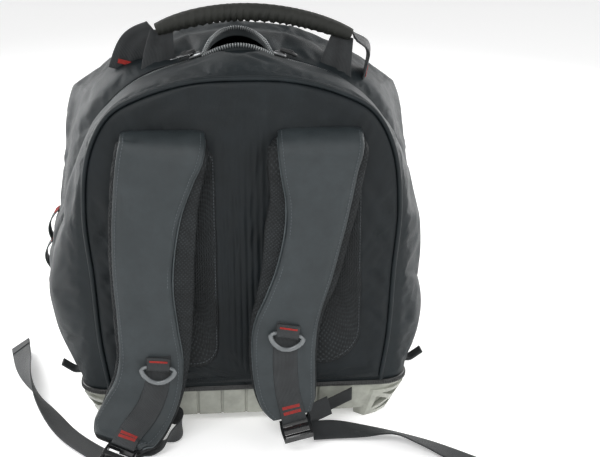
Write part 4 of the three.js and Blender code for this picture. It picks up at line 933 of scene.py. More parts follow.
PANEL_ARCH = inset_ring(REAR_RINGS[0], 2 * PIPING + GAP)
PANEL_ARCH = PANEL_ARCH[PANEL_ARCH[:, 2] > HEM + 2 * PIPING]
PANEL_HEM = np.linspace(PANEL_ARCH[-1], PANEL_ARCH[0], 92)[1:-1]
PANEL_EDGE = np.concatenate([PANEL_ARCH, PANEL_HEM])
EDGE_TURN = np.arctan2(PANEL_EDGE[:, 2] - PANEL_MIDDLE[2], PANEL_EDGE[:, 0])
EDGE_REACH = np.hypot(PANEL_EDGE[:, 2] - PANEL_MIDDLE[2], PANEL_EDGE[:, 0])
EDGE_ORDER = np.argsort(EDGE_TURN)


def panel_within(x, z):
    turn = np.arctan2(z - PANEL_MIDDLE[2], x)
    reach = np.interp(turn, EDGE_TURN[EDGE_ORDER], EDGE_REACH[EDGE_ORDER], period=2 * math.pi)
    return np.hypot(x, z - PANEL_MIDDLE[2]) / reach


def panel_front(x, z):
    within = np.clip(panel_within(x, z), 0, 1)
    rise = np.interp(within, PANEL_RISE[::-1, 0], PANEL_RISE[::-1, 1])
    swell = np.interp(within, PANEL_RISE[::-1, 0], PANEL_RISE[::-1, 2])
    return BACK - GAP - rise * PANEL_THICK - swell * PANEL_CROWN


PANEL_FOLDS = [
    {"at": (-20, -128, 352), "run": (1, 0, 0.15), "long": 30, "wide": 5, "deep": 2.4},
    {"at": (22, -128, 346), "run": (1, 0, -0.35), "long": 22, "wide": 5, "deep": 2.2},
    {"at": (-70, -127, 350), "run": (1, 0, 0.5), "long": 24, "wide": 5, "deep": 2.2},
    {"at": (72, -127, 344), "run": (1, 0, -0.55), "long": 24, "wide": 5, "deep": 2.0},
    {"at": (136, -124, 250), "run": (0.6, 0, -1), "long": 26, "wide": 5, "deep": 2.6},
    {"at": (140, -124, 205), "run": (0.7, 0, -1), "long": 30, "wide": 5, "deep": 2.8},
    {"at": (138, -124, 160), "run": (0.9, 0, -1), "long": 26, "wide": 5, "deep": 2.6},
    {"at": (136, -124, 120), "run": (1, 0, -0.8), "long": 22, "wide": 5, "deep": 2.2},
    {"at": (-138, -124, 220), "run": (0.7, 0, 1), "long": 28, "wide": 5, "deep": 2.6},
    {"at": (-138, -124, 170), "run": (0.9, 0, 1), "long": 26, "wide": 5, "deep": 2.4},
    {"at": (-134, -124, 110), "run": (1, 0, 0.6), "long": 24, "wide": 5, "deep": 2.2},
    {"at": (-10, -128, 62), "run": (1, 0, 0.1), "long": 60, "wide": 5, "deep": 1.8},
]


def fades(past, soft):
    """1 well inside a border, 0 well past it, and a half on it."""
    return 1 / (1 + np.exp(past / soft))


def channel_ribs(places):
    """Upright ribs down the middle channel, sunk between the mesh pads."""
    inside = fades(np.abs(places[:, 0]) - CHANNEL_HALF, 1.2)
    inside *= fades(CHANNEL_LOW - places[:, 2], 2.0) * fades(places[:, 2] - CHANNEL_TOP, 2.0)
    ribs = np.abs(np.cos(places[:, 0] * math.pi / CHANNEL_PITCH))
    return inside * (ribs * RIB_HIGH - CHANNEL_DEEP)


print("panel stands", round(float(BACK - panel_front(0.0, 200.0)), 1), "mm proud at its middle")

# %% [markdown]
# The pad's rings shrink towards a pole low down, below the channel, so that no ring pinches the
# ribs. Pressure swells the pad a little, and its ribs and folds are pressed in afterwards, so that
# they stay crisp.

# %% Back pad
RING_SHARES = [0.996, 0.99, 0.98, 0.965, 0.945] + list(np.linspace(0.92, 0.04, 62)) + [0.004]
RIM_HOLD = 0.03


def dome(name, outline, front, rings, middle):
    layers = [outline.copy()]
    layers[0][:, 1] = BACK - 0.2
    for share in (1.0, *rings):
        layer = middle + (outline - middle) * share
        layer[:, 1] = front(layer[:, 0], layer[:, 2], share)
        layers.append(layer)
    return face_outwards(piece_from(name, grid_mesh(name, np.array(layers), False, True, True)))


def panel_height(x, z, share):
    lowered = 1.1 if share >= 1.0 else 0.0
    return panel_front(x, z) + lowered


def near_rim(places):
    return np.exp(-(((panel_within(places[:, 0], places[:, 2]) - 1) / RIM_HOLD) ** 2))


back_pad = dome("back_pad", PANEL_EDGE, panel_height, RING_SHARES, PANEL_POLE)
filled_out(back_pad, 1.2, -0.01, 2.5, near_rim)
places = vertex_array(back_pad.data) / MM
facing = places[:, 1] < BACK - 2.0
places[:, 1] -= channel_ribs(places) * facing
place_vertices(back_pad.data, places * MM)
folded(back_pad, PANEL_FOLDS, noise=0.9, size=46.0, seed=12, held=near_rim)
# The pad's cloth is the nylon painted darker, as painted shade.
dress(back_pad, SHADED_PANEL_NYLON, ("back_panel",))

# %% [markdown]
# Two pads of spacer mesh stand proud of the panel, with round corners that are larger low down on
# the outside. Each is the same kind of dome, with a rolled edge that falls back to the panel.

# %% Mesh pads
PAD_INNER, PAD_OUTER, PAD_LOW, PAD_HIGH, PAD_THICK = 28.0, 119.0, 72.0, 306.5, 4.0
PAD_CORNERS = {"inner": 22.0, "outer": 38.0, "top": 10.0}
PAD_RINGS = [0.995, 0.985, 0.97, 0.95, 0.93] + list(np.linspace(0.9, 0.03, 40))
PAD_ROLL = 0.9


def corner(x, z, radius, start):
    turn = np.radians(np.linspace(start, start + 90, 16))
    return [(x + radius * math.cos(a), z + radius * math.sin(a)) for a in turn]


def pad_outline(sign):
    inner, outer, top = (PAD_CORNERS[key] for key in ("inner", "outer", "top"))
    points = corner(PAD_INNER + inner, PAD_LOW + inner, inner, 180)
    points += corner(PAD_OUTER - outer, PAD_LOW + outer, outer, 270)
    points += corner(PAD_OUTER - top, PAD_HIGH - top, top, 0)
    points += corner(PAD_INNER + top, PAD_HIGH - top, top, 90)
    knots = np.array(points + points[:1])
    lengths = run_length(knots)
    even = np.linspace(0, lengths[-1], 181)[:-1]
    x, z = (np.interp(even, lengths, knots[:, axis]) for axis in (0, 1))
    return np.stack([sign * x, np.full_like(x, BACK), z], axis=1)


def mesh_pad(name, sign, node, seed):
    outline = pad_outline(sign)
    middle = np.array([sign * (PAD_INNER + PAD_OUTER) / 2, BACK, (PAD_LOW + PAD_HIGH) / 2])

    def front(x, z, share):
        past = max(0.0, (share - PAD_ROLL) / (1 - PAD_ROLL))
        roll = PAD_THICK * (1 - past**2) ** 0.5 if share < 1 else 0.4
        return panel_front(x, z) - GAP - roll

    shaped = dome(name, outline, front, PAD_RINGS, middle)
    folded(shaped, noise=0.5, size=40.0, seed=seed)
    dress(shaped, AIR_MESH, (node,))
    return shaped


mesh_pad("spacer_mesh_left", -1, "mesh_pad_left", 21)
mesh_pad("spacer_mesh_right", 1, "mesh_pad_right", 22)

# %% [markdown]
# A corded piping closes the seam round the back panel. It is a round section carried along the
# first outline of the rear tub, just outside the pad.

# %% Piping
UP_Y = np.array([0.0, 1.0, 0.0])


def piping_path(distance, depth):
    path = inset_ring(REAR_RINGS[0], distance).copy()
    path[:, 1] = depth
    return path


pipe_path = piping_path(PIPING, BACK - PIPING - GAP)
piping = swept("panel_cord", pipe_path, np.tile(UP_Y, (len(pipe_path), 1)), round_section(PIPING, 12))
dress(piping, NYLON, ("panel_piping",))

# %% [markdown]
# Stitches, teeth and ribs all follow a path at an even pitch, so one node tree makes them. It turns
# a line of points into a curve, spaces it by the pitch, and sets a small soft block on each point,
# turned by the path and by the outward direction that the points carry. It ends in real mesh,
# because the export drops instances.

# %% Beads along a path
def bead_tree():
    tree = bpy.data.node_groups.new("beads_along_path", "GeometryNodeTree")
    tree.interface.new_socket("Geometry", in_out="INPUT", socket_type="NodeSocketGeometry")
    for label, value in (("Pitch", 0.003), ("Long", 0.002), ("Wide", 0.001), ("High", 0.0006),
                         ("Uneven", 0.0)):
        socket = tree.interface.new_socket(label, in_out="INPUT", socket_type="NodeSocketFloat")
        socket.default_value = value
    seed = tree.interface.new_socket("Seed", in_out="INPUT", socket_type="NodeSocketInt")
    seed.default_value = 4
    tree.interface.new_socket("Material", in_out="INPUT", socket_type="NodeSocketMaterial")
    tree.interface.new_socket("Geometry", in_out="OUTPUT", socket_type="NodeSocketGeometry")
    start = tree.nodes.new("NodeGroupInput")
    end = tree.nodes.new("NodeGroupOutput")
    link = tree.links.new
    to_curve = tree.nodes.new("GeometryNodeMeshToCurve")
    link(start.outputs["Geometry"], to_curve.inputs["Mesh"])
    even = tree.nodes.new("GeometryNodeResampleCurve")
    even.mode = "LENGTH"
    link(to_curve.outputs["Curve"], even.inputs["Curve"])
    link(start.outputs["Pitch"], even.inputs["Length"])
    block = tree.nodes.new("GeometryNodeMeshCube")
    size = tree.nodes.new("ShaderNodeCombineXYZ")
    for axis, label in zip("XYZ", ("Long", "Wide", "High")):
        link(start.outputs[label], size.inputs[axis])
    link(size.outputs[0], block.inputs["Size"])
    soft = tree.nodes.new("GeometryNodeSubdivisionSurface")
    soft.inputs["Level"].default_value = 1
    soft.inputs["Edge Crease"].default_value = 0.35
    link(block.outputs["Mesh"], soft.inputs["Mesh"])
    outward = tree.nodes.new("GeometryNodeInputNamedAttribute")
    outward.data_type = "FLOAT_VECTOR"
    outward.inputs["Name"].default_value = "outward"
    tangent = tree.nodes.new("GeometryNodeInputTangent")
    turn = tree.nodes.new("FunctionNodeAxesToRotation")
    turn.primary_axis = "Z"
    turn.secondary_axis = "X"
    link(outward.outputs["Attribute"], turn.inputs["Primary Axis"])
    link(tangent.outputs["Tangent"], turn.inputs["Secondary Axis"])
    chance = tree.nodes.new("FunctionNodeRandomValue")
    chance.data_type = "FLOAT"
    less = tree.nodes.new("ShaderNodeMath")
    less.operation = "SUBTRACT"
    less.inputs[0].default_value = 1.0
    link(start.outputs["Uneven"], less.inputs[1])
    link(less.outputs[0], chance.inputs[2])
    chance.inputs[3].default_value = 1.0
    link(start.outputs["Seed"], chance.inputs["Seed"])
    on_points = tree.nodes.new("GeometryNodeInstanceOnPoints")
    link(even.outputs["Curve"], on_points.inputs["Points"])
    link(soft.outputs["Mesh"], on_points.inputs["Instance"])
    link(turn.outputs["Rotation"], on_points.inputs["Rotation"])
    link(chance.outputs[1], on_points.inputs["Scale"])
    real = tree.nodes.new("GeometryNodeRealizeInstances")
    link(on_points.outputs["Instances"], real.inputs["Geometry"])
    paint = tree.nodes.new("GeometryNodeSetMaterial")
    link(real.outputs["Geometry"], paint.inputs["Geometry"])
    link(start.outputs["Material"], paint.inputs["Material"])
    link(paint.outputs["Geometry"], end.inputs["Geometry"])
    return tree


BEADS = bead_tree()
print("the tree", BEADS.name, "has", len(BEADS.nodes), "nodes")

# %% [markdown]
# A row of beads starts as loose points and edges, with the outward direction stored on each point.
# The modifier's inputs are set by the identifiers of their sockets, and the result is kept as plain
# mesh.

# %% Rows of beads
BEAD_SEED = 4


def beads(name, paths, outwards, material, pitch, size, uneven=0.0):
    """Small blocks, long, wide and high in mm, along each path and standing on it outwards."""
    points, directions, edges = [], [], []
    for path, outward in zip(paths, outwards):
        first = len(points)
        points.extend(tuple(p * MM) for p in path)
        directions.extend(np.broadcast_to(outward, path.shape))
        edges.extend((first + at, first + at + 1) for at in range(len(path) - 1))
    mesh = bpy.data.meshes.new(name)
    mesh.from_pydata(points, edges, [])
    layer = mesh.attributes.new("outward", "FLOAT_VECTOR", "POINT")
    layer.data.foreach_set("vector", np.array(directions, np.float32).ravel())
    shaped = bpy.data.objects.new(name, mesh)
    CLOTHING.objects.link(shaped)
    modifier = shaped.modifiers.new("beads", "NODES")
    modifier.node_group = BEADS
    values = {"Pitch": pitch * MM, "Long": size[0] * MM, "Wide": size[1] * MM, "High": size[2] * MM,
              "Uneven": uneven, "Seed": BEAD_SEED, "Material": material}
    for item in BEADS.interface.items_tree:
        if item.in_out == "INPUT" and item.name in values:
            modifier[item.identifier] = values[item.name]
    baked(shaped)
    return dress(shaped, material)


print("bead rows ready, seed", BEAD_SEED)

# %% [markdown]
# Rows of stitches run just inside the panel's rim and round both mesh pads. Both follow the same
# rules for height as the pads, so that the thread lies on the cloth.

# %% Panel stitches
RIM_STITCH, PAD_STITCH = (2.4, 0.7, 0.6), (2.2, 0.6, 0.5)
STITCH_PITCH = 3.2
seam_path = piping_path(2 * PIPING + 2.2, BACK)[8:-8]
seam_path[:, 1] = panel_front(seam_path[:, 0], seam_path[:, 2]) + 1.6
seam_out = unit(seam_path - PANEL_MIDDLE) * 0.5 + np.array([0.0, -1.0, 0.0])
beads("panel_stitches", [seam_path], [unit(seam_out)], THREAD, STITCH_PITCH, RIM_STITCH, 0.15)
pad_stitches = [pad_outline(sign)[list(range(180)) + [0]] for sign in (-1, 1)]
for path in pad_stitches:
    middle = path.mean(axis=0)
    path[:] = middle + (path - middle) * 0.955
    path[:, 1] = panel_front(path[:, 0], path[:, 2]) - GAP - PAD_THICK * 0.86
beads("mesh_stitches", pad_stitches, [-UP_Y, -UP_Y], THREAD, STITCH_PITCH, PAD_STITCH, 0.15)

# %% [markdown]
# A shoulder strap is a long foam pad with a smooth cloth face over spacer mesh. Its route, widths
# and roll come from a short table, and the same stations carry its webbing, its rings and its lock.

# %% Strap routes
STRAP_TOP, STRAP_OUT, STRAP_WIDTH, STRAP_MESH, STRAP_PAD = 316.0, 32.0, 84.0, 8.0, 8.0
STRAP_ROWS = {
    "left": [
        (1, 0.12, -0.93, 0.98, 0.02, 0.02, 0), (1, 0.41, -0.93, 0.98, 0.03, 0.03, 0),
        (0.978, 0.83, -0.94, 0.98, 0.05, 0.04, 0), (0.924, 1, -1.01, 0.92, 0.1, 0.05, -4),
        (0.804, 1, -1.12, 0.81, 0.18, 0.06, -8), (0.655, 1, -1.19, 0.74, 0.23, 0.06, -10),
        (0.522, 1, -1.2, 0.7, 0.24, 0.06, -10), (0.396, 1.02, -1.17, 0.72, 0.17, 0.06, -7),
        (0.285, 1.06, -1.15, 0.76, 0.08, 0.05, -3), (0.19, 1.17, -1.22, 0.8, 0.04, 0.04, 0),
        (0.12, 1.4, -1.36, 0.82, 0.03, 0.03, 0), (0.076, 1.78, -1.5, 0.78, 0.02, 0.02, 0),
        (0.057, 2.05, -1.56, 0.58, 0.01, 0.01, 0)],
    "right": [
        (1, 0.12, 0.9, 1, 0.02, 0.02, 0), (1, 0.41, 0.9, 1, 0.05, 0.04, 0),
        (0.978, 0.83, 0.89, 1, 0.1, 0.07, 0), (0.924, 1, 0.87, 0.93, 0.14, 0.1, 3),
        (0.813, 1, 0.86, 0.79, 0.18, 0.11, 6), (0.696, 1, 0.8, 0.71, 0.23, 0.11, 8),
        (0.563, 1, 0.68, 0.69, 0.17, 0.1, 7), (0.468, 1.02, 0.56, 0.71, 0.1, 0.06, 5),
        (0.38, 1.05, 0.46, 0.77, 0.04, 0.04, 2), (0.285, 1.1, 0.44, 0.76, 0.03, 0.03, 0),
        (0.19, 1.2, 0.46, 0.72, 0.03, 0.03, 0), (0.133, 1.3, 0.5, 0.64, 0.02, 0.02, 0),
        (0.098, 1.4, 0.53, 0.48, 0.01, 0.01, 0)],
}
SIDE_SIGN = {"left": -1, "right": 1}
RING_HEIGHT = {"left": 0.285 * STRAP_TOP, "right": 0.383 * STRAP_TOP}
WEB_SHIFT = {"left": 0.095 * STRAP_WIDTH, "right": 0.012 * STRAP_WIDTH}
LOCK_TILT = {"left": 8.0, "right": 56.0}
WEB_WIDE, WEB_THICK = 25.0, 1.6
X_AXIS, Z_AXIS = np.array([1.0, 0, 0]), np.array([0, 0, 1.0])


def turned(vectors, axis, degrees):
    angle = np.radians(degrees)
    angle = np.reshape(angle, (-1, 1)) if np.ndim(angle) else angle
    dot = np.sum(vectors * axis, axis=-1, keepdims=True)
    kept = axis * dot * (1 - np.cos(angle))
    return vectors * np.cos(angle) + np.cross(axis, vectors) * np.sin(angle) + kept


def strap_stations(side, shares):
    rows = np.array(STRAP_ROWS[side], float)
    x, y, z = rows[:, 2] * STRAP_WIDTH, BACK - rows[:, 1] * STRAP_OUT, rows[:, 0] * STRAP_TOP
    places = np.stack([x, y, z], axis=1)
    shares = np.atleast_1d(shares)
    at = curve_points(places, shares)
    step = 1e-4
    ahead = curve_points(places, np.minimum(shares + step, 1))
    behind = curve_points(places, np.maximum(shares - step, 0))
    along = unit(ahead - behind)
    across = unit(X_AXIS - along * along[:, :1])
    across = turned(across, along, -curve_points(rows[:, 6:7], shares, 0.5)[:, 0])
    return {"at": at, "along": along, "across": across, "out": np.cross(along, across),
            "width": curve_points(rows[:, 3:6], shares, 0.5)}


def share_at_height(side, height):
    shares = np.linspace(0.2, 1, 400)
    heights = strap_stations(side, shares)["at"][:, 2]
    return float(np.interp(-height, -heights, shares))


for side in SIDE_SIGN:
    print(side, "ring at share", round(share_at_height(side, RING_HEIGHT[side]), 3))

# %% [markdown]
# The cloth face is a soft oblong section, a little crowned, and the mesh below is wider on the
# inner side, so that its edge shows.

# %% Padded straps
STRAP_FOLDS = {
    "left": [
        {"at": (-98, -165, 60), "run": (1, 0, 0.25), "long": 16, "wide": 3, "deep": 1.8},
        {"at": (-128, -172, 48), "run": (1, 0, -0.3), "long": 14, "wide": 3, "deep": 1.8},
        {"at": (-84, -158, 300), "run": (1, 0, 0.1), "long": 40, "wide": 4, "deep": 1.0},
        {"at": (-96, -158, 160), "run": (0.4, 0, 1), "long": 60, "wide": 14, "deep": 0.8},
    ],
    "right": [
        {"at": (30, -165, 70), "run": (1, 0, -0.2), "long": 16, "wide": 3, "deep": 1.6},
        {"at": (75, -158, 298), "run": (1, 0, -0.1), "long": 40, "wide": 4, "deep": 1.0},
        {"at": (60, -158, 190), "run": (-0.4, 0, 1), "long": 60, "wide": 12, "deep": 0.8},
    ],
}


def soft_sign(values, power):
    return np.sign(values) * np.abs(values) ** power


def face_sections(stations, sides=52):
    turn = np.linspace(0, 2 * math.pi, sides, endpoint=False)
    half = stations["width"][:, :1] * STRAP_WIDTH / 2
    middle, rise = (STRAP_PAD + 0.15) / 2, (STRAP_PAD - 0.15) / 2
    aside = half * soft_sign(np.cos(turn), 0.34)
    up = middle + rise * soft_sign(np.sin(turn), 0.72) + 0 * half
    return np.stack([aside, up], axis=2)


def mesh_sections(stations, sign, sides=52):
    made = []
    for width in stations["width"]:
        half = width[0] * STRAP_WIDTH / 2
        right = half + (width[2] if sign > 0 else width[1]) * STRAP_WIDTH
        left = half + (width[1] if sign > 0 else width[2]) * STRAP_WIDTH
        top, low = 0.05, -STRAP_MESH
        knots = [(half - 1, top), (0, top), (-half + 1, top), (-left + 0.5, -1.8), (-left, low * 0.5),
                 (-left + 1, low * 0.85), (-left + 5, low), (0, low), (right - 5, low),
                 (right - 1, low * 0.85), (right, low * 0.5), (right - 0.5, -1.8)]
        knots = np.array(knots + knots[:1])
        lengths = run_length(knots)
        even = np.linspace(0, lengths[-1], sides, endpoint=False)
        made.append(np.stack([np.interp(even, lengths, knots[:, axis]) for axis in (0, 1)], axis=1))
    return np.array(made)


print("strap sections ready")

# %% [markdown]
# Face and mesh are grids of sections at 130 stations. Where a strap starts it is sewn into the
# panel, so its first points stay in front of the pad and are held while the cloth is filled.

# %% Strap bodies
STRAP_STATIONS, STRAP_HOLD = 130, 40.0


def strap_grid(stations, sections):
    grid = (stations["at"][:, None] + stations["across"][:, None] * sections[:, :, :1]
            + stations["out"][:, None] * sections[:, :, 1:])
    inside = panel_within(grid[..., 0], grid[..., 2]) < 1
    front = panel_front(grid[..., 0], grid[..., 2]) - GAP
    grid[..., 1] = np.where(inside, np.minimum(grid[..., 1], front), grid[..., 1])
    return grid


def strap_body(side, part, sections, stations, material, node, seed):
    name = f"strap_{part}_{side}"
    grid = strap_grid(stations, sections)
    shaped = face_outwards(piece_from(name, grid_mesh(name, grid, False, True, True)))
    top = stations["at"][0]

    def held(places):
        return np.exp(-((np.linalg.norm(places - top, axis=1) / STRAP_HOLD) ** 4))

    if part == "face":
        filled_out(shaped, 1.0, 0.0, 1.6, held)
    folded(shaped, STRAP_FOLDS[side], noise=0.45, size=42.0, seed=seed, held=held)
    dress(shaped, material, (node,))
    return shaped


for number, (side, sign) in enumerate(SIDE_SIGN.items()):
    stations = strap_stations(side, np.linspace(0.0, 1.0, STRAP_STATIONS))
    strap_body(side, "face", face_sections(stations), stations, STRAP_CLOTH,
               f"shoulder_strap_{side}", 31 + number)
    strap_body(side, "spacer", mesh_sections(stations, sign), stations, AIR_MESH,
               f"strap_mesh_{side}", 41 + number)

# %% [markdown]
# Where face and mesh are sewn together, a thin bound edge runs down both sides, with a row of
# stitches beside it.

# %% Strap edges
def strap_line(side, reach, up, first=0.1, last=0.985):
    stations = strap_stations(side, np.linspace(first, last, 160))
    half = stations["width"][:, :1] * STRAP_WIDTH / 2
    aside = np.sign(reach) * (half - abs(reach))
    return stations["at"] + stations["across"] * aside + stations["out"] * up, stations


for side in SIDE_SIGN:
    lines, outs = [], []
    for edge in (-0.6, 0.6):
        path, stations = strap_line(side, edge, 0.6)
        edge_name = f"strap_edge_{side}_{'a' if edge < 0 else 'b'}"
        # The bound edges are dressed in pale cloth, a painted highlight along each strap edge.
        dress(swept(edge_name, path, stations["across"], round_section(1.1, 8)), EDGE_HIGHLIGHT_CLOTH)
        stitch_path, stations = strap_line(side, edge * 7, STRAP_PAD - 0.35)
        lines.append(stitch_path)
        outs.append(stations["out"])
    beads(f"strap_stitches_{side}", lines, outs, THREAD, 3.4, (2.4, 0.6, 0.5), 0.1)

# %% [markdown]
# The webbing runs down the face of each strap, round the first bar of the lock and back. The lock
# itself is tilted by the pull of the lower webbing. The same few sizes place the ring, its keeper
# and the lock.

# %% Strap webbing
LOCK_LONG, LOCK_BAR, LOCK_THICK, LOCK_GAP = 27.0, 5.0, 6.0, 3.5
LOCK_BAR_AT = LOCK_GAP + LOCK_BAR / 2
LOCK_TURN = math.hypot(LOCK_BAR, LOCK_THICK) / 2 + GAP + WEB_THICK / 2
KEEPER_TAB = 10.0
WEB_UP = STRAP_PAD + GAP + WEB_THICK / 2


def strap_web(side):
    start = share_at_height(side, RING_HEIGHT[side] + KEEPER_TAB)
    stations = strap_stations(side, np.linspace(start, 1, 60))
    shift = WEB_SHIFT[side]
    path = stations["at"] + stations["across"] * shift + stations["out"] * WEB_UP
    across, along, out = (stations[key][-1] for key in ("across", "along", "out"))
    pivot = path[-1] + along * LOCK_BAR_AT - out * LOCK_TURN
    lead = [path[-1] + along * LOCK_BAR_AT * share for share in (0.3, 0.6, 0.85)]
    loop = [pivot + turned(out, across, -180.0 * share) * LOCK_TURN for share in np.linspace(0, 1, 17)]
    back = loop[-1] - along * (LOCK_BAR_AT - GAP)
    whole = np.concatenate([path, lead, loop, [loop[-1] * 0.5 + back * 0.5, back]])
    extra = len(whole) - len(path)
    return whole, np.concatenate([stations["across"], np.tile(across, (extra, 1))])


def lock_frame(side):
    end = {key: value[0] for key, value in strap_stations(side, [1.0]).items()}
    up = WEB_UP - LOCK_TURN
    pivot = end["at"] + end["across"] * WEB_SHIFT[side] + end["out"] * up + end["along"] * LOCK_BAR_AT
    along = turned(end["along"], end["across"], -LOCK_TILT[side])
    out = turned(end["out"], end["across"], -LOCK_TILT[side])
    return {"at": pivot + along * (LOCK_LONG - LOCK_BAR) / 2, "x": end["across"], "y": -along, "z": out}


LOCKS = {side: lock_frame(side) for side in SIDE_SIGN}
for side in SIDE_SIGN:
    path, across = strap_web(side)
    web = swept(f"strap_band_{side}", path, across, band_section(WEB_WIDE, WEB_THICK))
    dress(web, WEBBING, (f"strap_webbing_{side}",))
    print(side, "lock at", LOCKS[side]["at"].round(1))

# %% [markdown]
# Bartacks are short blocks of dense zigzag stitches that hold webbing down. Each is a few rows of
# beads in red thread, laid across the band.

# %% Bartacks
def bartack(name, centre, across, along, out, wide, rows=4, row_gap=1.1):
    paths = []
    for row in range(rows):
        middle = centre + along * (row - (rows - 1) / 2) * row_gap
        paths.append(np.array([middle - across * wide / 2, middle, middle + across * wide / 2]))
    return beads(name, paths, [out] * rows, RED_THREAD, 1.0, (1.3, 0.9, 0.7), 0.2)


for side, shares in (("left", (0.935, 0.972)), ("right", (0.925, 0.968))):
    for number, share in enumerate(shares):
        here = {key: value[0] for key, value in strap_stations(side, [share]).items()}
        centre = here["at"] + here["across"] * WEB_SHIFT[side] + here["out"] * (WEB_UP + WEB_THICK / 2)
        bartack(f"strap_bartack_{side}_{number}", centre, here["across"], here["along"],
                here["out"], 17, 3)

# %% [markdown]
# The tails hang free from the locks and lie on the floor, and one of them twists on its edge. Each
# row of the table is a place, in shares of the tail's reach from its lock, and the band's twist in
# degrees.

# %% Tails
TAIL_REACH = 300.0
TAIL_ROWS = {
    "left": [(-0.01, 0.02, 0.0115, 0), (-0.09, 0.11, 0.008, 4), (-0.19, 0.24, 0.012, 10),
             (-0.28, 0.41, 0.032, 34), (-0.355, 0.6, 0.048, 88), (-0.41, 0.8, 0.036, 136),
             (-0.45, 1.0, 0.03, 150)],
    "right": [(0.061, 0.075, 0.03, 24), (0.14, 0.08, 0.028, 22), (0.24, 0.07, 0.022, 2),
              (0.35, 0.035, 0.026, -24), (0.44, -0.03, 0.02, -16), (0.54, -0.12, 0.008, -2),
              (0.64, -0.22, 0.004, 0)],
}


def routed(points, steps, across_of):
    shares = np.linspace(0, 1, steps + 1)
    path = curve_points(points, shares)
    along = tangents(path)
    across = across_of(shares, along)
    return path, unit(across - np.sum(across * along, axis=1, keepdims=True) * along)


def tail(side):
    rows = np.array(TAIL_ROWS[side])
    start = LOCKS[side]["at"]
    x, y, z = (rows[:, axis] * TAIL_REACH for axis in range(3))
    points = np.stack([start[0] + x, start[1] + y, z], axis=1)

    def across_of(shares, along):
        flat = unit(np.cross(Z_AXIS, along))
        return turned(flat, along, curve_points(rows[:, 3:4], shares, 0.5)[:, 0])

    path, across = routed(points, 150, across_of)
    band = swept(f"tail_band_{side}", path, across, band_section(WEB_WIDE, WEB_THICK))
    dress(band, WEBBING, (f"webbing_tail_{side}",))
    hem = swept(f"tail_hem_{side}", path[-9:-1], across[-9:-1],
                band_section(WEB_WIDE + 0.2, WEB_THICK * 2))
    dress(hem, WEBBING)


print("tail helpers ready")

# %% [markdown]
# Lower webbing comes from a stiff wing of cloth on the base and runs up behind the lock, turning
# flat on its way. It is drawn as far as the lock, where the lock hides its end.

# %% Wings and lower webbing
LOWER_REACH = 60.0
LOWER_ROWS = {
    "left": [(0.02, 0.16, 0.24, 0), (-0.12, 0.36, 0.21, 0.3), (-0.42, 0.52, 0.1, 0.9),
             (-0.72, 0.62, 0.05, 1)],
    "right": [(0.14, 0.1, 0.31, 0.2), (0.26, 0.3, 0.3, 0.8)],
}
WING_INNER, WING_OUTER, WING_HIGH, WING_LOW = 72.0, 112.0, 41.0, 26.0
WING_REACH, WING_THICK, WING_DROOP = 14.0, 3.0, 12.0
RIM_PROUD, WING_SEAT = 2.0, 2.5
WING_FACE = -BASE_DEEP - RIM_PROUD - WING_SEAT - GAP


def wing_point(sign, share, up, z):
    slope = unit(np.array([WING_OUTER - WING_INNER, WING_REACH]))
    x = WING_OUTER + (WING_INNER - WING_OUTER) * share - slope[1] * up
    return np.array([sign * x, WING_FACE - WING_REACH * share - slope[0] * up, z])


def wing(side):
    sign = SIDE_SIGN[side]
    grid = []
    for share in np.linspace(0, 1, 16):
        low, high = WING_LOW - WING_DROOP * share, WING_HIGH - WING_DROOP * share
        middle, half = (low + high) / 2, (high - low) / 2
        section = band_section(2 * half, WING_THICK)
        row = [wing_point(sign, share, WING_THICK / 2 + up, middle + aside) for aside, up in section]
        grid.append(row)
    mesh = grid_mesh(f"wing_{side}", np.array(grid), False, True, True)
    shaped = face_outwards(piece_from(f"wing_{side}", mesh))
    dress(shaped, WING_CLOTH, (f"anchor_wing_{side}",))


def lower_web(side):
    sign, lock = SIDE_SIGN[side], LOCKS[side]
    rows = np.array(LOWER_ROWS[side])
    up = WING_THICK + GAP + WEB_THICK / 2
    z = (WING_LOW + WING_HIGH) / 2 - WING_DROOP
    tip = wing_point(sign, 1, up, z)
    points = [wing_point(sign, 0.6, up, z + WING_DROOP * 0.4), tip]
    for x, y, height in rows[:, :3] * LOWER_REACH:
        points.append((tip[0] - sign * x, tip[1] - y, height))
    behind = lock["at"] - lock["z"] * (LOCK_THICK / 2 + GAP + WEB_THICK / 2)
    points.append(behind)
    level = unit(lock["x"] * np.array([1, 1, 0]))
    flats = np.array([[0.0], [0.0], *[[row[3]] for row in rows], [2.0]])

    def across_of(shares, along):
        turn = np.clip(curve_points(flats, shares, 0.5), 0, 2)
        first = Z_AXIS + (level - Z_AXIS) * np.minimum(turn, 1)
        return first + (lock["x"] - level) * np.maximum(turn - 1, 0)

    path, across = routed(points, 90, across_of)
    away = np.abs((path - lock["at"]) @ lock["y"])
    near = np.abs((path - lock["at"]) @ lock["z"]) < 12
    keep = ~((away < LOCK_LONG / 2 + 1) & near)
    last = len(path) if keep.all() else int(np.argmin(keep))
    band = swept(f"lower_band_{side}", path[:last], across[:last],
                 band_section(WEB_WIDE * 0.9, WEB_THICK))
    dress(band, WEBBING, (f"lower_webbing_{side}",))


for side in SIDE_SIGN:
    tail(side)
    wing(side)
    lower_web(side)

# %% [markdown]
# A D-ring hangs from its straight bar, and turns about it, so each ring rides on its own body. Its
# shape is one closed curve with an oval section.

# %% D-rings
BAR_RADIUS, BAR_HALF = 1.8, 13.5
BOW_REACH, BOW_SWELL, BOW_FLAT = 16.0, 3.0, 1.35


def ring_frame(side):
    share = share_at_height(side, RING_HEIGHT[side])
    here = {key: value[0] for key, value in strap_stations(side, [share]).items()}
    up = STRAP_PAD + 2 * GAP + 2 * WEB_THICK + GAP + BAR_RADIUS
    at = here["at"] + here["across"] * WEB_SHIFT[side] + here["out"] * up
    return {"at": at, "x": here["across"], "y": here["out"], "z": -here["along"]}


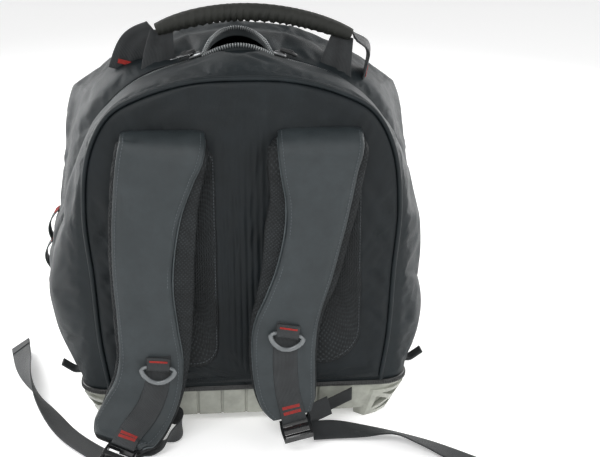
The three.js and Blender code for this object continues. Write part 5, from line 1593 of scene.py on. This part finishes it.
def closed_curve(points, steps):
    knots = np.asarray(points, float)
    wrapped = np.concatenate([knots[-3:], knots, knots[:4]])
    total = len(wrapped) - 1
    first, last = 3 / total, (3 + len(knots)) / total
    return curve_points(wrapped, np.linspace(first, last, steps, endpoint=False))


def in_frame(frame, x, y, z):
    return frame["at"] + frame["x"] * x + frame["y"] * y + frame["z"] * z


def d_ring(side):
    frame_here = ring_frame(side)
    bar = BAR_HALF + BAR_RADIUS
    half = [(BAR_HALF * 0.5, 0), (BAR_HALF, -0.3), (bar + BOW_SWELL * 0.4, -BOW_SWELL),
            (bar - BOW_SWELL * 0.2, -BOW_REACH * 0.5), (BAR_HALF * 0.55, -BOW_REACH * 0.88)]
    outline = [(-BAR_HALF * 0.5, 0)] + half + [(0, -BOW_REACH)] + [(-x, z) for x, z in reversed(half[1:])]
    flat = closed_curve([(x, 0, z) for x, z in outline], 120)
    path = np.array([in_frame(frame_here, *point) for point in flat])
    along = unit(np.roll(path, -1, axis=0) - np.roll(path, 1, axis=0))
    side_way = np.cross(along, frame_here["y"])
    wide = np.where(flat[:, 2] < -BOW_SWELL, BOW_FLAT, 1.0)
    turn = np.linspace(0, 2 * math.pi, 16, endpoint=False)
    up = frame_here["y"]
    grid = np.array([[p + s * w * BAR_RADIUS * math.cos(a) + up * BAR_RADIUS * math.sin(a) for a in turn]
                     for p, s, w in zip(path, side_way, wide)])
    shaped = face_outwards(piece_from(f"ring_{side}", grid_mesh(f"ring_{side}", grid, True, True)))
    dress(shaped, GREY_PLASTIC, (f"dring_{side}",), body=f"dring_{side}")


print("ring helpers ready")

# %% [markdown]
# The keeper is a folded band of webbing that goes round the ring's bar and is sewn down above it
# with red thread. Its turn leaves a small gap all round the bar, so that the ring can move.

# %% Rings in their keepers
def keeper(side):
    frame_here = ring_frame(side)
    radius = BAR_RADIUS + GAP + WEB_THICK / 2
    turn = np.linspace(math.pi, 2 * math.pi, 15)
    flat = [(-radius, KEEPER_TAB), (-radius, KEEPER_TAB * 0.6), (-radius, KEEPER_TAB * 0.3)]
    flat += [(radius * math.cos(a), radius * math.sin(a)) for a in turn]
    flat += [(radius * 0.75, 2.4), (radius * 0.1, 5.2), (-radius * 0.35, 7.6),
             (-radius * 0.45, KEEPER_TAB)]
    path = np.array([in_frame(frame_here, 0, y, z) for y, z in flat])
    wide = 2 * (BAR_HALF - BAR_RADIUS) - 2 * GAP
    band = swept(f"keeper_band_{side}", path, np.tile(frame_here["x"], (len(path), 1)),
                 band_section(wide, WEB_THICK))
    dress(band, WEBBING, (f"dring_keeper_{side}",))
    centre = in_frame(frame_here, 0, radius * 0.1 + WEB_THICK * 0.4, 6.4)
    out = unit(frame_here["y"] + frame_here["z"] * 0.5)
    bartack(f"keeper_tack_{side}", centre, frame_here["x"], -frame_here["z"], out, 17, 2, 1.0)


for side in SIDE_SIGN:
    d_ring(side)
    keeper(side)

# %% [markdown]
# Moulded pieces already have their true shape in the solid model. A copy is merged, its flat facets
# are joined, and a small bevel rounds every sharp edge, which is what makes a moulding catch the
# light.


# %% Moulded pieces
BEVEL_FROM, SHARP_FROM, FLAT_WITHIN = 28.0, 35.0, 1.5


def moulded(name, node, material, bevel):
    source = frame["nodes"][node]
    shaped = bpy.data.objects.new(name, source.data.copy())
    CLOTHING.objects.link(shaped)
    work = bmesh.new()
    work.from_mesh(shaped.data)
    bmesh.ops.remove_doubles(work, verts=work.verts, dist=2e-6)
    bmesh.ops.dissolve_limit(work, angle_limit=math.radians(FLAT_WITHIN), verts=work.verts,
                             edges=work.edges)
    work.to_mesh(shaped.data)
    work.free()
    modifier = shaped.modifiers.new("soft_edges", "BEVEL")
    modifier.width = bevel * MM
    modifier.segments = 2
    modifier.limit_method = "ANGLE"
    modifier.angle_limit = math.radians(BEVEL_FROM)
    baked(shaped)
    dress(shaped, material, (node,))
    shaped.data.shade_smooth()
    shaped.data.set_sharp_from_angle(angle=math.radians(SHARP_FROM))
    return shaped


moulded("rubber_tray", "base_tray", RUBBER, 0.8)
moulded("rubber_rim", "base_rim", RIM_RUBBER, 0.5)
for side in SIDE_SIGN:
    moulded(f"lock_{side}", f"ladder_lock_{side}", BLACK_PLASTIC, 0.55)
    moulded(f"slider_{side}", f"zip_slider_{side}", SLIDER, 0.8)

# %% [markdown]
# The rim that clamps the cloth has a fine upright knurl all round, made with the bead tree along
# its plan outline.


# %% Rim knurl
def plan_outline(half, deep, corner, z, steps=16):
    points = []
    for quarter in range(4):
        start = -90 + quarter * 90
        u = 1 if quarter in (0, 1) else -1
        v = -1 if quarter in (0, 3) else 1
        for angle in np.radians(np.linspace(start, start + 90, steps)):
            points.append((u * (half - corner) + corner * math.cos(angle),
                           v * (deep - corner) + corner * math.sin(angle), z))
    return np.array(points + points[:1])


RIM_MIDDLE = 43.0
rim_path = plan_outline(BASE_HALF + RIM_PROUD, BASE_DEEP + RIM_PROUD, BASE_CORNER + RIM_PROUD, RIM_MIDDLE)
rim_out = unit(np.cross(tangents(rim_path), Z_AXIS))
beads("rim_knurl", [rim_path], [rim_out], RIM_RUBBER, 2.6, (1.3, 4.6, 1.0))

# %% [markdown]
# The carrying handle is a foam tube in gathered cloth. Its gathers are rings of small folds, deep
# below and in the middle and smooth on top, so the radius follows one formula along and round the
# tube.

# %% Handle grip
GRIP = {"y": -14.0, "radius": 10.0, "left": -84.0, "right": 120.0, "left_z": 405.0,
        "right_z": 397.0, "middle": 14.0, "middle_z": 422.0}
GATHERS, FINE_GATHERS = 27, 61


def grip_curve(shares):
    ends = np.array([(GRIP["left"], GRIP["y"], GRIP["left_z"]),
                     (GRIP["right"], GRIP["y"], GRIP["right_z"])])
    lift = 2 * GRIP["middle_z"] - (GRIP["left_z"] + GRIP["right_z"]) / 2
    middle = np.array([GRIP["middle"], GRIP["y"], lift])
    shares = np.reshape(shares, (-1, 1))
    return (1 - shares) ** 2 * ends[0] + 2 * shares * (1 - shares) * middle + shares**2 * ends[1]


def gathered_grip():
    shares = np.linspace(0, 1, 300)
    path = grip_curve(shares)
    up = -np.cross(UP_Y, tangents(path))
    turn = np.linspace(0, 2 * math.pi, 40, endpoint=False)
    slim = GRIP["radius"] * (1 - 0.28 * np.abs(2 * shares - 1) ** 6)
    below = 0.5 - 0.5 * np.cos(turn)
    run = shares[:, None]
    fold = np.sin(run * 2 * math.pi * GATHERS + 1.3 * np.sin(turn * 2) + 2.0 * np.sin(run * 17))
    fine = np.sin(run * 2 * math.pi * FINE_GATHERS + 2.2 * np.cos(turn * 3))
    middle = np.exp(-(((shares - 0.45) / 0.33) ** 4))[:, None]
    rumpled = (0.9 * fold + 0.3 * fine) * (0.12 + 0.88 * below) * (0.3 + 0.7 * middle)
    radius = slim[:, None] - 0.8 + rumpled
    grid = (path[:, None] + up[:, None] * (radius * np.cos(turn))[..., None]
            + UP_Y * (radius * np.sin(turn))[..., None])
    shaped = face_outwards(piece_from("grip_cover", grid_mesh("grip_cover", grid, False, True, True)))
    dress(shaped, GRIP_CLOTH, ("handle_grip",))


gathered_grip()

# %% [markdown]
# Four webbing legs fan out from the grip's ends to the bag, folded once along their length. They
# follow the solid's three points each, and stop at the cloth.

# %% Handle legs
LEG_DROP, LEG_TOP, LEG_FOOT, LEG_THICK = 56.0, 24.0, 40.0, 2.2
LEG_SUNK, LEG_LEAST = 12.0, 30
CREASE_HIGH, CREASE_AT, CREASE_WIDE = 1.28, 0.16, 3.0
RIPPLE_HIGH, RIPPLE_RATE = 0.4, 0.5
LEGS = [
    {"side": "left", "name": "inner", "top": -0.1, "knee": -0.04, "knee_z": 0.45, "foot": 0,
     "back": 0.02, "edge": 0},
    {"side": "left", "name": "outer", "top": 0.05, "knee": 0.42, "knee_z": 0.3, "foot": 0.66,
     "back": 0.5, "edge": 0},
    {"side": "right", "name": "inner", "top": -0.16, "knee": -0.26, "knee_z": 0.45, "foot": -0.34,
     "back": 0.02, "edge": 0},
    {"side": "right", "name": "outer", "top": 0.06, "knee": 0.36, "knee_z": 0.3, "foot": 0.3,
     "back": 0.46, "edge": 0.85},
]


def handle_leg(leg):
    sign = SIDE_SIGN[leg["side"]]
    end = grip_curve([0.0 if sign < 0 else 1.0])[0]
    depth = 0.0 if leg["name"] == "inner" else LEG_THICK + GAP
    rows = [(leg["top"], 0.0, 0.02), (leg["knee"], leg["back"] * 0.4, leg["knee_z"]),
            (leg["foot"], leg["back"], 1.0)]
    points = []
    for x, y, z in rows:
        points.append(end + np.array([sign * x * LEG_DROP, depth + y * LEG_DROP, -z * LEG_DROP]))
    shares = np.linspace(0, 1, 60)
    path = curve_points(points, shares)
    along = tangents(path)
    level = np.cross(along, UP_Y)
    across = unit(level + (UP_Y - level) * leg["edge"])
    wide = LEG_TOP + (LEG_FOOT - LEG_TOP) * shares
    side_way = unit(across - np.sum(across * along, axis=1, keepdims=True) * along)
    out = np.cross(along, side_way)
    grid = []
    for place, aside, up, width, share in zip(path, side_way, out, wide, shares):
        ring = []
        for offset, rise in band_section(width, LEG_THICK):
            crease = CREASE_HIGH * math.exp(-(((offset + width * CREASE_AT) / CREASE_WIDE) ** 2))
            ripple = RIPPLE_HIGH * math.sin(offset * RIPPLE_RATE)
            ring.append(place + aside * offset + up * (rise - crease * min(1.0, share * 3) + ripple))
        grid.append(ring)
    grid = np.array(grid)
    inside = grid[:, :, 2].min(axis=1) < top_at(path[-1][0], path[-1][1]) - LEG_SUNK
    last = int(np.argmax(inside)) if inside.any() else len(grid)
    name = f"leg_{leg['name']}_{leg['side']}"
    mesh = grid_mesh(name, grid[: max(last, LEG_LEAST)], False, True, True)
    shaped = face_outwards(piece_from(name, mesh))
    dress(shaped, WEBBING, (f"handle_leg_{leg['name']}_{leg['side']}",))
    foot = np.array([p for p in path[LEG_LEAST:] if p[2] > top_at(p[0], p[1]) + 3][-1:])
    if len(foot) and leg["name"] == "outer":
        at = int(np.argmin(np.linalg.norm(path - foot[0], axis=1)))
        face = -out[at] if out[at][1] > 0 else out[at]
        centre = path[at] + face * (LEG_THICK / 2 + 1.0)
        bartack(f"leg_tack_{leg['side']}", centre, side_way[at], along[at], face, wide[at] * 0.55, 5)


for leg in LEGS:
    handle_leg(leg)

# %% [markdown]
# The zip runs up one side, over the crown and down the other. Its closed chain is a tape with a row
# of teeth across its middle.

# %% Zip chains
TEETH_PITCH, TEETH_SIZE = 2.2, (1.3, 4.6, 1.7)
TAPE_THICK, TAPE_SUNK, TEETH_SUNK = 1.2, 1.3, 0.5
ZIP_ARCH = ring_at(ZIP_LINE)


def arch_normals(path):
    along = tangents(path)
    return unit(np.cross(UP_Y, along)) * -1.0


def zip_chain(side):
    sign = SIDE_SIGN[side]
    path = ZIP_ARCH[ZIP_ARCH[:, 0] * sign > MOUTH_HALF + GAP]
    out = arch_normals(path)
    out *= np.sign(np.sum(out * (path - np.array([0, ZIP_LINE, 200.0])), axis=1, keepdims=True))
    base = path - out * TAPE_SUNK
    section = band_section(2 * (ZIP_HALF - GAP), TAPE_THICK)
    tape = swept(f"zip_tape_{side}", base, np.tile(UP_Y, (len(base), 1)), section)
    dress(tape, ZIP_TAPE, (f"zip_chain_{side}",))
    rows = [path - out * TEETH_SUNK]
    beads(f"zip_row_{side}", rows, [out], ZIP_TEETH, TEETH_PITCH, TEETH_SIZE)


print("zip chain helper ready")

# %% [markdown]
# At the mouth the two tapes part and stand up, most in the middle of the opening, each with its own
# row of teeth along the free edge.

# %% Zip mouth
MOUTH_PITCH, MOUTH_TEETH = 2.7, (1.5, 4.2, 4.6)
RAIL_LOW, RAIL_SWELL, RAIL_SUNK, RAIL_THICK, RAIL_INSET, RAIL_LEAN = 3.0, 5.0, 3.0, 1.4, 1.6, 0.25


def mouth_rail(name, direction, node):
    swell = MOUTH_REAR if direction < 0 else MOUTH_FRONT
    share = np.linspace(-1, 1, 90) * 0.985
    x = MOUTH_HALF * share
    y = ZIP_LINE + direction * (ZIP_HALF + swell * (1 - share**2) - RAIL_INSET)
    rise = RAIL_LOW + RAIL_SWELL * (1 - share**2)
    top = np.array([top_at(a, b) for a, b in zip(x, y)])
    middle = np.stack([x, y, top - RAIL_SUNK + rise / 2], axis=1)
    along = tangents(middle)
    lean = unit(Z_AXIS + np.array([0, RAIL_LEAN * direction, 0]))
    across = unit(np.tile(lean, (len(x), 1)) - along * (along @ lean)[:, None])
    grid = []
    for place, aside, run, high in zip(middle, across, along, rise + RAIL_SUNK):
        up = np.cross(run, aside)
        grid.append([place + aside * s + up * t for s, t in band_section(high, RAIL_THICK)])
    mesh = grid_mesh(f"{name}_tape", np.array(grid), False, True, True)
    tape = face_outwards(piece_from(f"{name}_tape", mesh))
    dress(tape, ZIP_TAPE, (node,))
    edge = middle + across * (rise[:, None] - 1.0) / 2
    beads(f"{name}_teeth", [edge], [across], ZIP_TEETH, MOUTH_PITCH, MOUTH_TEETH)


for side in SIDE_SIGN:
    zip_chain(side)
mouth_rail("mouth_rear", -1, "zip_rail_rear")
mouth_rail("mouth_front", 1, "zip_rail_front")

# %% [markdown]
# Each slider carries a loop of black cord as its puller, and the left one also a flat shiny tab.
# The loops follow the solid's own route, made from the slope of the zip under the slider.

# %% Zip pullers
SLIDER_LONG, SLIDER_HIGH, CORD_RADIUS, LOOP_LONG = 14.0, 5.0, 1.8, 24.0
LOOP_ROWS = [(0, 0, 0), (0.45, 0.3, 0), (1, 0.32, -0.05), (1.35, 0, -0.12), (1, -0.32, -0.05),
             (0.45, -0.3, 0)]
KNOT_EXTRA = 0.7
TAB_LONG, TAB_WIDE_METAL, TAB_THICK = 24.0, 7.0, 1.2


def slider_frame(side):
    sign = SIDE_SIGN[side]
    x = sign * (MOUTH_HALF + GAP + SLIDER_LONG / 2)
    slope = (top_at(x + 1, ZIP_LINE) - top_at(x - 1, ZIP_LINE)) / 2
    lift = GAP + abs(slope) * GAP
    along = unit(np.array([1.0, 0.0, slope]))
    at = np.array([x, ZIP_LINE, top_at(x, ZIP_LINE) + lift])
    return {"at": at, "x": along, "y": UP_Y, "z": np.cross(along, UP_Y)}


def puller(side):
    sign, frame_here = SIDE_SIGN[side], slider_frame(side)
    half, rise = LOOP_LONG / 2, SLIDER_HIGH + CORD_RADIUS + GAP
    points = [in_frame(frame_here, sign * a * half, b * half, rise + c * half) for a, b, c in LOOP_ROWS]
    path = closed_curve(points, 90)
    across = np.tile(frame_here["z"], (len(path), 1))
    loop = swept(f"puller_{side}", path, across, round_section(CORD_RADIUS, 12), closed=True)
    dress(loop, CORD, (f"zip_pull_{side}",))
    knot = slice(22, 34)
    wrap = swept(f"puller_knot_{side}", path[knot], across[knot],
                 round_section(CORD_RADIUS + KNOT_EXTRA, 12))
    dress(wrap, CORD)


def metal_tab():
    frame_here = slider_frame("left")
    path = []
    for share in np.linspace(0, 1, 12):
        x, y, z = -2.0 - TAB_LONG * share, -5.0 - 3.0 * share, SLIDER_HIGH + 1.0 + 1.5 * share
        path.append(in_frame(frame_here, x, y, z))
    across = np.tile(frame_here["y"], (len(path), 1))
    tab = swept("slider_tab", np.array(path), across, band_section(TAB_WIDE_METAL, TAB_THICK))
    dress(tab, SLIDER)


for side in SIDE_SIGN:
    puller(side)
metal_tab()

# %% [markdown]
# Small webbing tabs stick out low on both sides, and a row of loops is sewn down the left side. Red
# bartacks hold the loops at each dip.

# %% Side tabs and loops
TAB_Y, TAB_REACH, TAB_RISE, TAB_WIDE = -68.0, 23.0, 9.0, 16.0
LOOPS_Y, LOOPS_WIDE, LOOPS_LOW, LOOPS_HIGH, LOOP_COUNT, LOOP_BULGE = 32.0, 20.0, 96.0, 200.0, 3, 7.0


def side_tab(side):
    sign = SIDE_SIGN[side]
    z = HEM + 1.0
    x = abs(side_at(z, TAB_Y, sign))
    rows = [(-0.1, 0.0), (0.15, 0.0), (0.42, 0.02), (0.7, 0.45), (1.0, 1.0)]
    points = [(sign * (x + a * TAB_REACH), TAB_Y, z + WEB_THICK + b * TAB_RISE) for a, b in rows]
    path = curve_points(points, np.linspace(0, 1, 30))
    tab = swept(f"tab_band_{side}", path, np.tile(UP_Y, (30, 1)), band_section(TAB_WIDE, 2 * WEB_THICK))
    dress(tab, WEBBING, (f"side_tab_{side}",))


def side_loops():
    shares = np.linspace(0, 1, 140)
    heights = LOOPS_LOW + (LOOPS_HIGH - LOOPS_LOW) * shares
    lift = np.abs(np.sin(shares * LOOP_COUNT * math.pi)) ** 0.8 * LOOP_BULGE
    x = np.array([side_at(z, LOOPS_Y, -1) for z in heights]) - GAP - WEB_THICK - lift
    path = np.stack([x, np.full_like(x, LOOPS_Y), heights], axis=1)
    band = swept("loop_band_left", path, np.tile(-UP_Y, (len(path), 1)),
                 band_section(LOOPS_WIDE, WEB_THICK))
    dress(band, GREY_WEBBING, ("side_webbing_left",))
    for number in range(LOOP_COUNT + 1):
        at = min(int(number * 139 / LOOP_COUNT), 138)
        along = unit(path[at + 1] - path[at])
        out = -X_AXIS
        bartack(f"loop_tack_{number}", path[at] + out * (WEB_THICK / 2 + 0.2), UP_Y, along, out, 18, 6)


for side in SIDE_SIGN:
    side_tab(side)
side_loops()
